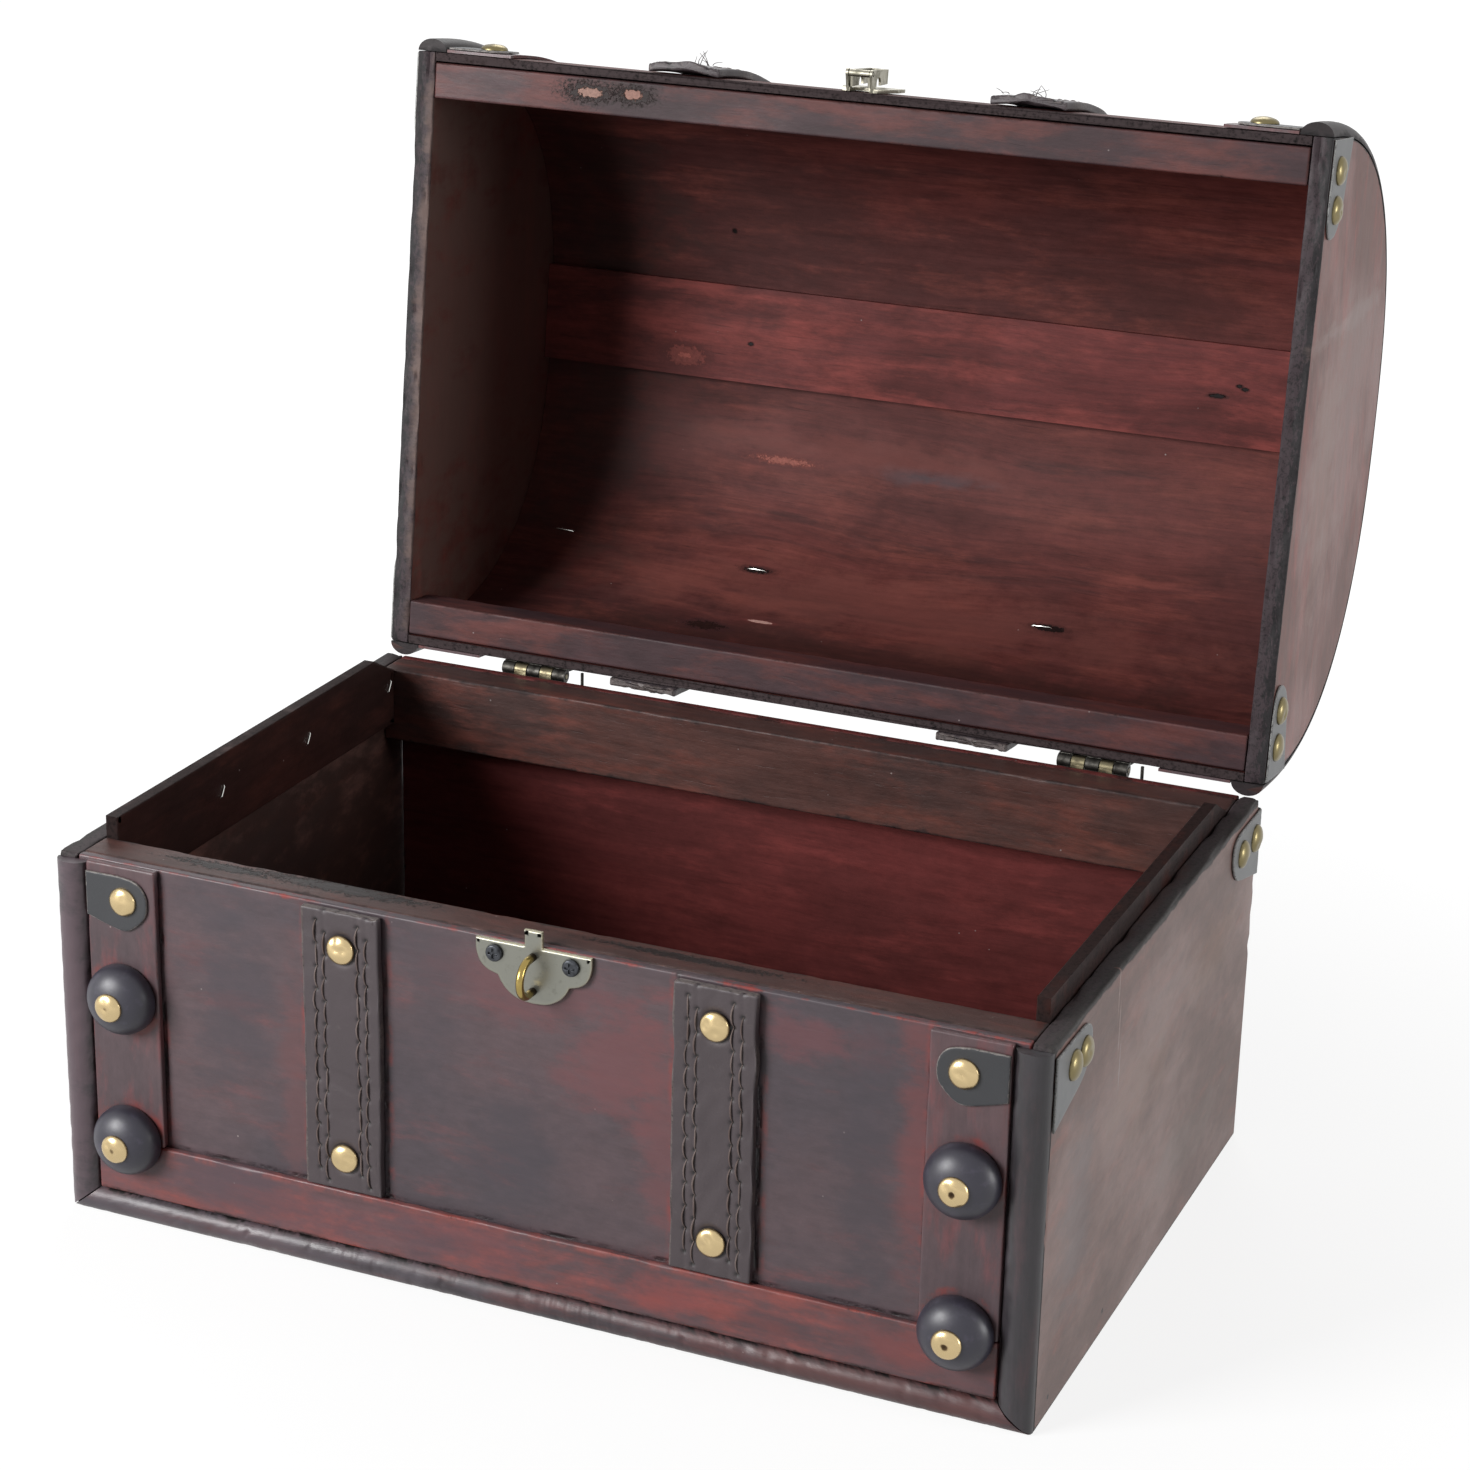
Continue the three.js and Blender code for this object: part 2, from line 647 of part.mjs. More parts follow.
function buildLidRails() {
  const outer = domeReach(lidRailHeight, panelSkin + seatGap);
  piece(lid, 'lid_front_rail', block(-innerHalf, -outer, 0, innerHalf, -railInner, lidRailHeight), 'rail');
  piece(lid, 'lid_back_rail', block(-innerHalf, railInner, 0, innerHalf, outer, lidRailHeight), 'rail');
  const inset = panelSkin + seatGap;
  const front = -ridgeForward - slatDepth / 2;
  const back = front + slatDepth;
  const under = lidHeight - inset - slatThickness;
  const crown = domeArc(turnAt(front, inset), turnAt(back, inset), inset);
  const section = [...crown, new THREE.Vector2(back, under), new THREE.Vector2(front, under)];
  const slat = sidePlate(new THREE.Shape(section.reverse()), innerHalf + innerHalf).translate(-innerHalf, 0, 0);
  piece(lid, 'ridge_slat', slat, 'slat');
}

// Half-round mouldings over both ends of the dome.
function buildDomeMouldings() {
  const section = halfRound(mouldingWidth, mouldingProud);
  const rings = [];
  for (let i = 0; i <= domeSteps; i += 1) {
    const turn = Math.PI * i / domeSteps;
    rings.push(section.map(([s, h]) => {
      const place = domePoint(turn, -seatGap - h);
      return new THREE.Vector3(-halfWidth + s, place.x, place.y);
    }));
  }
  const moulding = loft(rings);
  piece(lid, 'lid_left_moulding', moulding, 'moulding');
  piece(lid, 'lid_right_moulding', mirrored(moulding), 'moulding');
}

function buildLidBands() {
  const band = domeBand(seatGap, lidBandThickness, stileWidth).translate(stileInner, 0, 0);
  piece(lid, 'lid_right_band', band, 'panel');
  piece(lid, 'lid_left_band', mirrored(band), 'panel');
  const strap = domeBand(seatGap, strapThickness, strapWidth);
  piece(lid, 'lid_left_strap', strap, 'leather', -strapOffset - strapWidth / 2, 0, 0);
  piece(lid, 'lid_right_strap', strap.clone(), 'leather', strapOffset - strapWidth / 2, 0, 0);
}

// Stands a piece made for a front face on the lid's band at a height above the rim.
function standOnBand(mesh, x, rise) {
  const lean = domeLean(rise);
  const out = seatGap + lidBandThickness + seatGap;
  mesh.rotation.x = -lean;
  mesh.position.set(x, -domeReach(rise) - out * Math.cos(lean), rise + out * Math.sin(lean));
}

function buildLidTrim() {
  const front = flippedUp(frontLeather(lidLeatherThickness));
  const root = halfWidth - mouldingWidth - seatGap - seatGap;
  const rise = lidLeatherRise;
  standOnBand(piece(lid, 'lid_left_front_leather', front, 'leather'), -root, rise);
  standOnBand(piece(lid, 'lid_right_front_leather', mirrored(front), 'leather'), root, rise);

  const sideX = halfWidth + seatGap;
  const sideRoot = halfDepth - sideLeatherInset;
  const frontSide = flippedUp(sideLeather(lidLeatherThickness, lidSideTackReaches));
  piece(lid, 'lid_right_side_leather', frontSide, 'leather', sideX, -sideRoot, rise);
  piece(lid, 'lid_left_side_leather', mirrored(frontSide), 'leather', -sideX, -sideRoot, rise);
  const rear = sideLeather(lidLeatherThickness, lidRearTackReaches).rotateX(Math.PI);
  piece(lid, 'lid_right_rear_leather', rear, 'leather', sideX, sideRoot, rise);
  piece(lid, 'lid_left_rear_leather', mirrored(rear), 'leather', -sideX, sideRoot, rise);
}

function buildLidHinges() {
  const bore = barX(hingePinRadius + boreGap, hingeWidth + hingeWidth, 0, 0, 0);
  const leaf = cut(joined(...hingeLeaf(0)), bore);
  const up = new THREE.Matrix4().makeScale(-1, 1, -1);
  const turned = leaf.applyMatrix4(up);
  const height = axisZ - rimZ;
  piece(lid, 'left_hinge_lid_leaf', turned, 'hinge', -hingeOffset, axisY, height);
  piece(lid, 'right_hinge_lid_leaf', turned.clone(), 'hinge', hingeOffset, axisY, height);
}

// The fixed plate of the hasp, drawn as (x, z) with the rim at z = 0, with two ears for the pin.
function haspPlate() {
  const foot = haspFoot / 2;
  const half = haspPlateWidth / 2;
  const slot = latchTabWidth / 2 + tabSlotGap;
  const slotTop = latchTabHeight + tabSlotOver;
  const outline = polygon([
    [-slot, slotTop], [-slot, haspRimGap], [-foot, haspRimGap], [-half, haspShoulder], [-half, haspPlateHeight],
    [half, haspPlateHeight], [half, haspShoulder], [foot, haspRimGap], [slot, haspRimGap],
    [slot, slotTop]].reverse());
  const plate = frontPlate(outline, haspPlateThickness);
  const low = haspPivotRise - haspEarRadius;
  const high = haspPivotRise + haspEarRadius;
  const earShape = polygon([
    [0, haspRimGap], [0, haspEarFoot], [-haspPlateThickness, haspEarFoot], [-haspPivotStandOff, high],
    [-haspPivotStandOff, low]]);
  const ear = (x) => [
    barX(haspEarRadius, haspEarThickness, x, -haspPivotStandOff, haspPivotRise),
    sidePlate(earShape, haspEarThickness).translate(x - haspEarThickness / 2, 0, 0)];
  const reach = haspEarInner + haspEarThickness / 2;
  const hole = barX(haspPinRadius + boreGap, boxWidth, 0, -haspPivotStandOff, haspPivotRise);
  return cut(joined(plate, ...ear(-reach), ...ear(reach)), hole);
}

// The swinging flap about its pin, folded up: a barrel, a slotted web and two cheeks notched for a shackle.
function haspFlap() {
  const under = flapBarrel - flapStep - flapSheet;
  const middle = under + flapSheet / 2;
  const web = block(-flapHalfWidth, -under - flapSheet, 0, flapHalfWidth, -under, flapLength);
  const barrel = barX(flapBarrel, 2 * flapHalfWidth, 0, 0, 0);
  const cheekShape = polygon([
    [-middle, 0], [flapCheekDepth, flapSheet], [flapCheekDepth - flapTaper, flapLength - flapStep],
    [-middle, flapLength - flapStep]]);
  const reach = flapHalfWidth - flapSheet;
  const right = sidePlate(cheekShape, flapSheet).translate(reach, 0, 0);
  const left = sidePlate(cheekShape, flapSheet).translate(-flapHalfWidth, 0, 0);
  const slot = block(-slotHalfWidth, -flapBarrel - flapSheet, slotStart, slotHalfWidth, flapSheet, slotEnd);
  const arch = barX(shackleNotchRadius, boxWidth, 0, shackleNotchFloor + shackleNotchRadius, shackleNotchCentre);
  const mouth = block(-boxWidth, shackleNotchFloor + shackleNotchRadius, shackleNotchCentre - shackleNotchRadius,
    boxWidth, flapCheekDepth + flapSheet, shackleNotchCentre + shackleNotchRadius);
  const hole = barX(haspPinRadius + boreGap, boxWidth, 0, 0, 0);
  return cut(joined(web, barrel, left, right), slot, arch, mouth, hole);
}

function buildHasp() {
  piece(lid, 'hasp_plate', haspPlate(), 'latch', latchCentre, faceY, 0);
  const pinLength = 2 * (haspEarInner + haspEarThickness);
  const pivotY = faceY - haspPivotStandOff;
  piece(lid, 'hasp_pin', barX(haspPinRadius, pinLength, 0, 0, 0), 'hinge', latchCentre, pivotY, haspPivotRise);
  piece(lid, 'hasp_flap', haspFlap(), 'latch', latchCentre, pivotY, haspPivotRise);
}

buildBaseCase();
buildBaseRails();
buildFrontFrame();
buildBaseMouldings();
buildBaseStraps();
buildBaseButtons();
buildBaseLeathers();
buildLatch();
buildBaseHinges();
buildLidCase();
buildLidRails();
buildDomeMouldings();
buildLidBands();
buildLidTrim();
buildLidHinges();
buildHasp();

const chest = new THREE.Group();
chest.name = 'treasure_chest';
chest.add(base, hingeLine);

export default chest;
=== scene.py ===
"""A small wooden treasure chest with a domed lid: its looks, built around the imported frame.

Lengths are in metres. The front faces -Y. What belongs to the lid is worked out with the lid shut,
where z = 0 is the lid's rim plane, and is then turned open about the hinge line.
"""
import json
from math import cos, pi, radians, sin
import bmesh
import bpy
import numpy as np
from mathutils import Matrix, Vector
from mathutils.geometry import tessellate_polygon


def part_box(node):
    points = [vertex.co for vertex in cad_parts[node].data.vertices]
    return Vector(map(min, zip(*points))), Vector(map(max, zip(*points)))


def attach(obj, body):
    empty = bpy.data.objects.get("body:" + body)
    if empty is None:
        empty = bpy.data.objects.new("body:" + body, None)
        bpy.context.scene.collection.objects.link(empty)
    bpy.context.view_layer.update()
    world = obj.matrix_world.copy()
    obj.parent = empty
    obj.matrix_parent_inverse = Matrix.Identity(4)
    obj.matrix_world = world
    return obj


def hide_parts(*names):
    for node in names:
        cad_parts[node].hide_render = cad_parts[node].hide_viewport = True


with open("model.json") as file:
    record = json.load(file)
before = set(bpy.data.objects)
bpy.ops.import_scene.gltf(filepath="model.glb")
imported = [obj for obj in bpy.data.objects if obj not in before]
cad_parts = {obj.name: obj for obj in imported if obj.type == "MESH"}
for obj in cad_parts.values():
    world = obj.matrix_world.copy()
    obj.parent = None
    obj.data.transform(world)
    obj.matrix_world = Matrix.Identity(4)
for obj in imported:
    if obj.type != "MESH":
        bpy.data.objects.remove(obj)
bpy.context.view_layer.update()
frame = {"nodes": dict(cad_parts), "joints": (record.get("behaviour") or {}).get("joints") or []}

# The photograph's view
CAMERA_AZIMUTH = radians(23.05)
CAMERA_ELEVATION = radians(20.42)
CAMERA_ROLL = radians(1.25)
CAMERA_PLACE = Vector((0.44087, -0.98793, 0.56273))
LENS = 85.52
SENSOR = 36.0

# Box
HALF_WIDTH = 0.170
HALF_DEPTH = 0.110
BASE_HEIGHT = 0.128
SIDE_WALL = 0.007
PANEL_SKIN = 0.003
SEAT = 0.0003
FACE_Y = -HALF_DEPTH - SEAT
EASE = 0.0006
SHARP_ANGLE = radians(40)

# Lid
LID_HEIGHT = 0.112
DOME_EXPONENT = 2.5
RIM_Z = 0.1285
RIDGE_FORWARD = 0.007
RAIL_THICKNESS = 0.013
LID_RAIL_HEIGHT = 0.016
SLAT_DEPTH = 0.037
SLAT_THICKNESS = 0.0045

# Mouldings
MOULDING_WIDTH = 0.0115
MOULDING_PROUD = 0.0045
MOULDING_TOP_DROP = 0.0015
BOTTOM_MOULDING = 0.0095

# Bands at the dome's ends, and the stiles and the rail below them on the base
BAND_THICKNESS = 0.001
BAND_WIDTH = 0.0257
BAND_INNER = HALF_WIDTH - MOULDING_WIDTH - SEAT - BAND_WIDTH
STILE_THICKNESS = 0.0025
BOTTOM_RAIL_HEIGHT = 0.0195

# Straps and their stitching, measured across from the strap's middle
STRAP_WIDTH = 0.0275
STRAP_THICKNESS = 0.003
STRAP_OFFSET = 0.06426
STRAP_LOW = BOTTOM_MOULDING + BOTTOM_RAIL_HEIGHT + SEAT + SEAT
STRAP_TOP_DROP = 0.0008
STRAP_HIGH = BASE_HEIGHT - STRAP_TOP_DROP
STITCH_COLUMNS = (-0.0090, -0.0060, 0.0060, 0.0090)
STITCH_PITCH = 0.0079
FIRST_NEEDLE = 0.004
THREAD_RADIUS = 0.00036

# Round-headed tacks
TACK_RADIUS = 0.0049
TACK_HEIGHT = 0.0024
TACK_DROP = 0.0084
STRAP_TACKS = (0.01344, 0.08653)

# Turned buttons
BUTTON_RADIUS = 0.012
BUTTON_HEIGHT = 0.010
BUTTON_EDGE = 0.002
BUTTON_DROPS = (0.04608, 0.09702)
STILE_CENTRE = BAND_INNER + BAND_WIDTH / 2
STILE_FACE_Y = FACE_Y - STILE_THICKNESS - SEAT

# Corner leathers, as reach from the corner and rise over the top edge
LEATHER_THICKNESS = 0.0007
LID_LEATHER = 0.0006
LEATHER_TOP_DROP = 0.0035
LEATHER_TOP = BASE_HEIGHT - LEATHER_TOP_DROP
LEATHER_ROOT = HALF_WIDTH - MOULDING_WIDTH - SEAT - SEAT
FRONT_LEATHER = np.array([(0.0120, 0.0001), (0.0180, -0.0008), (0.0212, -0.0032), (0.0227, -0.0074),
                          (0.0216, -0.0132), (0.0151, -0.0186), (0.0072, -0.0174), (0.0, -0.0152)])
SIDE_LEATHER = np.array([(0.0220, 0.0001), (0.0280, -0.0004), (0.0318, -0.0024), (0.0332, -0.0060),
                         (0.0316, -0.0120), (0.0255, -0.0173), (0.0120, -0.0210), (0.0, -0.0240)])
SIDE_INSET = 0.0006
FRONT_TACK = 0.014
SIDE_TACKS = (0.0155, 0.0260)
REAR_TACKS = (0.0070, 0.0230)
LID_SIDE_TACKS = (0.0104, 0.0234)
LID_REAR_TACKS = (0.0110, 0.0240)
LID_LEATHER_RISE = 0.001

# Latch
LATCH_X = 0.0024
LATCH_WIDTH = 0.0396
LATCH_HEIGHT = 0.019
LATCH_THICKNESS = 0.0014
LATCH_TAB = (0.0061, 0.0055)
LATCH_TOP = BASE_HEIGHT - SEAT
WING_SHARES = np.array([(1, 0), (1, -0.21), (0.93, -0.42), (0.8, -0.54), (0.62, -0.6)])
CHIN_SHARES = np.array([(0.62, -0.6), (0.56, -0.72), (0.44, -0.86), (0.24, -0.97), (0, -1)])
STAPLE_WIRE = 0.0013
STAPLE_RADIUS = 0.00575
STAPLE_LEG = 0.0033
STAPLE_DROP = 0.0088

# Nails in the bottom bead as (x, z), and wire staples inside: (x, depth) on the dome and (depth, rise) on
# the left lip
BEAD_NAILS = [(-0.1012, 0.0060), (-0.0290, 0.0052), (0.0560, 0.0055), (0.1290, 0.0050)]
DOME_STAPLES = [(-0.0567, 0.0800), (0.0612, 0.0842), (-0.1411, 0.0763)]
LIP_STAPLES = [(0.0897, 0.1225), (0.0297, 0.1218), (-0.0289, 0.1220)]
DOME_CROWN = 0.0078
LIP_CROWN = 0.0045
PIN_PLACES = (-0.0886, 0.1274)
PIN_LOW, PIN_HIGH = BASE_HEIGHT - 0.012, 0.1322
PIN_RADIUS = 0.0006
PIN_Y = HALF_DEPTH + 0.0008

# How far beside a border the rubbed line or the dirt runs
STRAP_LINE_GAP = 0.0016
STILE_LINE_GAP = 0.0008
BUTTON_LINE_GAP = 0.0009
RAIL_LINE_DROP = 0.0012
STILE_SEAM_GAP = 0.0002
BEAD_SEAM_RISE = 0.0006

# How far in from a side's outer face its worn edges turn to their second colour
PLY_DEPTH = 0.0024

# Colours in linear light
PORE = (0.008, 0.005, 0.005, 1)
FLECK = (0.36, 0.30, 0.29, 1)
# Dark for dirt on edges and joints, and painted shade in the straps' needle holes and at their tack rims
GRIME_AND_SHADE = (0.010, 0.008, 0.008, 1)
METAL_GRIME = (0.02, 0.014, 0.010, 1)
SEAM_DIRT = (0.006, 0.005, 0.005, 1)

LID_JOINT = next(joint for joint in frame["joints"] if joint["name"] == "lid_hinge")
HINGE_Y, HINGE_Z = LID_JOINT["pos_m"][1:]
OPEN_TURN = radians(LID_JOINT["range_deg"][1])


# Node helpers

def put(tree, kind, inputs=None, **settings):
    """Adds one shader node; an input is given by its name, as a value or as the socket that feeds it."""
    made = tree.nodes.new("ShaderNode" + kind)
    for name, value in settings.items():
        setattr(made, name, value)
    for name, value in (inputs or {}).items():
        socket = made.inputs[name]
        if isinstance(value, bpy.types.NodeSocket):
            tree.links.new(value, socket)
        else:
            socket.default_value = value
    return made


def calc(tree, operation, first, second=0.0, clamp=False):
    """One step of arithmetic on two values or sockets."""
    return put(tree, "Math", {0: first, 1: second}, operation=operation, use_clamp=clamp).outputs[0]


def plus(tree, first, second):
    """The sum of two values or sockets."""
    return calc(tree, "ADD", first, second)


def minus(tree, first, second, clamp=False):
    """The difference of two values or sockets."""
    return calc(tree, "SUBTRACT", first, second, clamp)


def times(tree, first, second, clamp=False):
    """The product of two values or sockets."""
    return calc(tree, "MULTIPLY", first, second, clamp)


def distance_to(tree, value, target):
    """How far a value is from a target, on either side."""
    return calc(tree, "ABSOLUTE", minus(tree, value, target))


def mixed(tree, share, first, second, blend="MIX"):
    """Two colours mixed by a share."""
    made = put(tree, "Mix", {0: share, 6: first, 7: second}, data_type="RGBA", blend_type=blend)
    return made.outputs[2]


def vector_step(tree, operation, first, second):
    """One step of arithmetic on two vectors."""
    return put(tree, "VectorMath", {0: first, 1: second}, operation=operation).outputs[0]


def noise(tree, vector, scale, detail=2.0, roughness=0.5):
    """Soft noise between 0 and 1 on stretched places; the scale counts its cells to the metre."""
    return put(tree, "TexNoise", {"Vector": vector_step(tree, "MULTIPLY", vector, scale), "Scale": 1.0,
                                  "Detail": detail, "Roughness": roughness}).outputs[0]


def eased_step(tree, value, low, high):
    """0 below low, 1 above high and a smooth rise between."""
    made = put(tree, "MapRange", {"Value": value, "From Min": low, "From Max": high},
               interpolation_type="SMOOTHSTEP")
    return made.outputs[0]


def eased_fall(tree, value, low, high):
    """1 below low, 0 above high and a smooth fall between."""
    return minus(tree, 1.0, eased_step(tree, value, low, high))


def own_place(tree):
    """The place in the object's own axes."""
    return put(tree, "TexCoord").outputs["Object"]


def axis(tree, place, index):
    """One axis of a place."""
    return put(tree, "SeparateXYZ", {0: place}).outputs[index]


def edge_marks(tree):
    """The mesh's edge marks: 1 on a worn edge, below 0 for dirt and, on the straps, painted shade."""
    return put(tree, "Attribute", attribute_name="edge").outputs["Fac"]


def with_grime_and_shade(tree, edge, tone, grime_and_shade=GRIME_AND_SHADE):
    """A colour that turns dark where the edge mark falls below 0: dirt, and on the straps painted shade."""
    return mixed(tree, times(tree, edge, -1.0, True), tone, grime_and_shade)


def new_group(name, inputs, outputs):
    """An empty shader group with named sockets, given as a kind and, for inputs, a start value."""
    tree = bpy.data.node_groups.new(name, "ShaderNodeTree")
    for label, (kind, value) in inputs.items():
        socket = tree.interface.new_socket(name=label, in_out="INPUT", socket_type="NodeSocket" + kind)
        if value is not None:
            socket.default_value = value
    for label, kind in outputs.items():
        tree.interface.new_socket(name=label, in_out="OUTPUT", socket_type="NodeSocket" + kind)
    return tree, tree.nodes.new("NodeGroupInput").outputs, tree.nodes.new("NodeGroupOutput").inputs


def shifted(tree, vector, offset):
    """A place moved by one number along all three axes, so that two boards never share a pattern."""
    step = put(tree, "CombineXYZ", {0: offset, 1: offset, 2: offset}).outputs[0]
    return vector_step(tree, "ADD", vector, step)


def shaded(tree, tone, shade):
    """A colour multiplied by a value."""
    grey = put(tree, "CombineColor", {0: shade, 1: shade, 2: shade}).outputs[0]
    return mixed(tree, 1.0, tone, grey, "MULTIPLY")


def stained_grain_group():
    """Stained wood with its grain along X: clouds, rubbed patches, streaks, pores and pale flecks."""
    tree, given, out = new_group(
        "stained grain",
        {"Vector": ("Vector", None), "Offset": ("Float", 0.0), "Stain": ("Color", None),
         "Deep Stain": ("Color", None), "Rubbed": ("Color", None), "Rubbed Amount": ("Float", 0.5),
         "Clouds": ("Float", 0.8), "Streaks": ("Float", 0.5), "Flecks": ("Float", 0.3)},
        {"Color": "Color", "Height": "Float", "Gloss Change": "Float"})
    place = shifted(tree, given["Vector"], given["Offset"])
    sway = times(tree, minus(tree, noise(tree, place, (9, 22, 22), 1), 0.5), 0.012)
    swayed = vector_step(tree, "ADD", place, put(tree, "CombineXYZ", {1: sway, 2: sway}).outputs[0])
    streak = noise(tree, swayed, (15, 330, 330), 6, 0.74)
    pores = eased_step(tree, noise(tree, swayed, (50, 900, 900), 3, 0.6), 0.62, 0.76)
    smear = eased_step(tree, noise(tree, swayed, (9, 85, 85), 5, 0.66), 0.50, 0.68)
    cloud = eased_step(tree, noise(tree, place, (9, 15, 15), 5, 0.62), 0.40, 0.62)
    patch = noise(tree, swayed, (20, 75, 75), 6, 0.68)
    patch = eased_step(tree, plus(tree, patch, given["Rubbed Amount"]), 0.98, 1.22)
    mottle = noise(tree, place, (110, 210, 210), 6, 0.72)
    deep = times(tree, minus(tree, 1.0, cloud), given["Clouds"])
    smeared = times(tree, smear, times(tree, given["Streaks"], 0.8))
    tone = mixed(tree, calc(tree, "MAXIMUM", deep, smeared), given["Stain"], given["Deep Stain"])
    tone = mixed(tree, patch, tone, given["Rubbed"])
    swing = times(tree, minus(tree, streak, 0.5), times(tree, given["Streaks"], 1.9))
    swing = plus(tree, swing, times(tree, minus(tree, mottle, 0.5), 0.9))
    tone = shaded(tree, tone, plus(tree, swing, 1.0))
    pore_share = times(tree, pores, times(tree, given["Streaks"], 0.45))
    tone = mixed(tree, pore_share, tone, PORE)
    cells = put(tree, "TexVoronoi", {"Vector": place, "Scale": 170.0}).outputs
    chance = put(tree, "SeparateColor", {0: cells["Color"]}).outputs[0]
    few = calc(tree, "GREATER_THAN", plus(tree, chance, times(tree, given["Flecks"], 0.3)), 1.0)
    small = eased_fall(tree, cells["Distance"], 0.03, 0.07)
    fleck = times(tree, few, small)
    tone = mixed(tree, times(tree, fleck, 0.8), tone, FLECK)
    tree.links.new(tone, out["Color"])
    height = minus(tree, times(tree, streak, 0.5), times(tree, pores, 0.2))
    height = plus(tree, height, times(tree, mottle, 0.9))
    tree.links.new(height, out["Height"])
    tree.links.new(minus(tree, streak, cloud), out["Gloss Change"])
    return tree


def rubbed_line_group():
    """A thin line of rubbed stain where a distance is near 0, broken up by noise."""
    tree, given, out = new_group(
        "rubbed line",
        {"Vector": ("Vector", None), "Distance": ("Float", 0.0), "Width": ("Float", 0.0012)},
        {"Mask": "Float"})
    broken = eased_step(tree, noise(tree, given["Vector"], (70, 70, 70), 5, 0.7), 0.44, 0.66)
    share = calc(tree, "DIVIDE", given["Distance"], given["Width"])
    close = eased_fall(tree, share, 0.2, 1.6)
    tree.links.new(times(tree, close, broken), out["Mask"])
    return tree


def ragged_length(tree, given, scale, detail, amount):
    """The length from a centre, measured in a patch's size, with noise added to make its border ragged."""
    away = vector_step(tree, "SUBTRACT", given["Vector"], given["Centre"])
    share = vector_step(tree, "DIVIDE", away, given["Size"])
    length = put(tree, "VectorMath", {0: share}, operation="LENGTH").outputs["Value"]
    broken = minus(tree, noise(tree, given["Vector"], scale, detail, 0.7), 0.5)
    return plus(tree, length, times(tree, broken, amount))


def spot_group():
    """A ragged spot round a centre, and a wider mask for its rim."""
    tree, given, out = new_group(
        "spot", {"Vector": ("Vector", None), "Centre": ("Vector", None), "Size": ("Vector", None),
                 "Ragged": ("Float", 0.5)}, {"Mask": "Float", "Rim": "Float"})
    length = ragged_length(tree, given, (700, 700, 700), 4, times(tree, given["Ragged"], 2.0))
    tree.links.new(eased_fall(tree, length, 0.8, 1.0), out["Mask"])
    tree.links.new(eased_fall(tree, length, 1.0, 1.7), out["Rim"])
    return tree


def wash_group():
    """A soft, uneven patch of another colour round a centre: a stain mostly, and in a few places painted
    shade and sheen.
    """
    tree, given, out = new_group(
        "wash", {"Vector": ("Vector", None), "Centre": ("Vector", None), "Size": ("Vector", None)},
        {"Mask": "Float"})
    length = ragged_length(tree, given, (45, 45, 90), 6, 3.4)
    tree.links.new(eased_fall(tree, length, 0.3, 1.35), out["Mask"])
    return tree


def worn_edge_group():
    """Wear where the edge mark times its amount, plus noise, is high; crumbs make its tone uneven."""
    tree, given, out = new_group(
        "worn edge",
        {"Vector": ("Vector", None), "Color": ("Color", None), "Worn": ("Color", None),
         "Edge": ("Float", 0.0), "Amount": ("Float", 0.5), "Size": ("Float", 90.0)},
        {"Color": "Color", "Mask": "Float"})
    scaled = put(tree, "VectorMath", {0: given["Vector"], "Scale": given["Size"]}, operation="SCALE")
    broken = put(tree, "TexNoise", {"Vector": scaled.outputs[0], "Scale": 1.0, "Detail": 5.0,
                                    "Roughness": 0.65}).outputs[0]
    reach = times(tree, given["Edge"], given["Amount"])
    mask = eased_step(tree, plus(tree, reach, broken), 0.80, 1.02)
    crumbs = times(tree, noise(tree, given["Vector"], (650, 650, 650), 4, 0.8), 5.0)
    worn = shaded(tree, given["Worn"], minus(tree, crumbs, 1.55, True))
    tree.links.new(mixed(tree, mask, given["Color"], worn), out["Color"])
    tree.links.new(mask, out["Mask"])
    return tree


def hide_group():
    """Leather: small pebbles, soft clouds and pale scuffs."""
    tree, given, out = new_group(
        "hide", {"Vector": ("Vector", None), "Leather": ("Color", None), "Scuffed": ("Color", None)},
        {"Color": "Color", "Height": "Float"})
    pebbles = put(tree, "TexVoronoi", {"Vector": given["Vector"], "Scale": 1500.0}, feature="SMOOTH_F1")
    cloud = noise(tree, given["Vector"], (60, 60, 60), 4, 0.6)
    scuff = eased_step(tree, noise(tree, given["Vector"], (220, 220, 220), 5, 0.7), 0.56, 0.80)
    tone = mixed(tree, times(tree, scuff, 0.35), given["Leather"], given["Scuffed"])
    shade = plus(tree, times(tree, cloud, 0.5), 0.75)
    tree.links.new(shaded(tree, tone, shade), out["Color"])
    tree.links.new(plus(tree, times(tree, pebbles.outputs[0], 0.5), cloud), out["Height"])
    return tree


def tarnish_group():
    """Old metal: bright where it is handled, dull and darker in blots."""
    tree, given, out = new_group(
        "tarnish",
        {"Vector": ("Vector", None), "Bright": ("Color", None), "Dull": ("Color", None),
         "Amount": ("Float", 0.5)},
        {"Color": "Color", "Mask": "Float", "Height": "Float"})
    blots = noise(tree, given["Vector"], (260, 260, 260), 5, 0.65)
    mask = eased_step(tree, plus(tree, blots, given["Amount"]), 0.85, 1.2)
    tree.links.new(mixed(tree, mask, given["Bright"], given["Dull"]), out["Color"])
    tree.links.new(mask, out["Mask"])
    tree.links.new(blots, out["Height"])
    return tree


GRAIN = stained_grain_group()
WORN_EDGE = worn_edge_group()
RUBBED_LINE = rubbed_line_group()
SPOT = spot_group()
WASH = wash_group()
HIDE = hide_group()
TARNISH = tarnish_group()


def use(tree, group, inputs):
    """Places a shader group with its own values."""
    return put(tree, "Group", inputs, node_tree=group).outputs


def colour(text):
    """A colour written as six hex digits, as it would look on screen, in linear light."""
    parts = [int(text[i:i + 2], 16) / 255 for i in (0, 2, 4)]
    return tuple(c / 12.92 if c <= 0.04045 else ((c + 0.055) / 1.055) ** 2.4 for c in parts) + (1.0,)


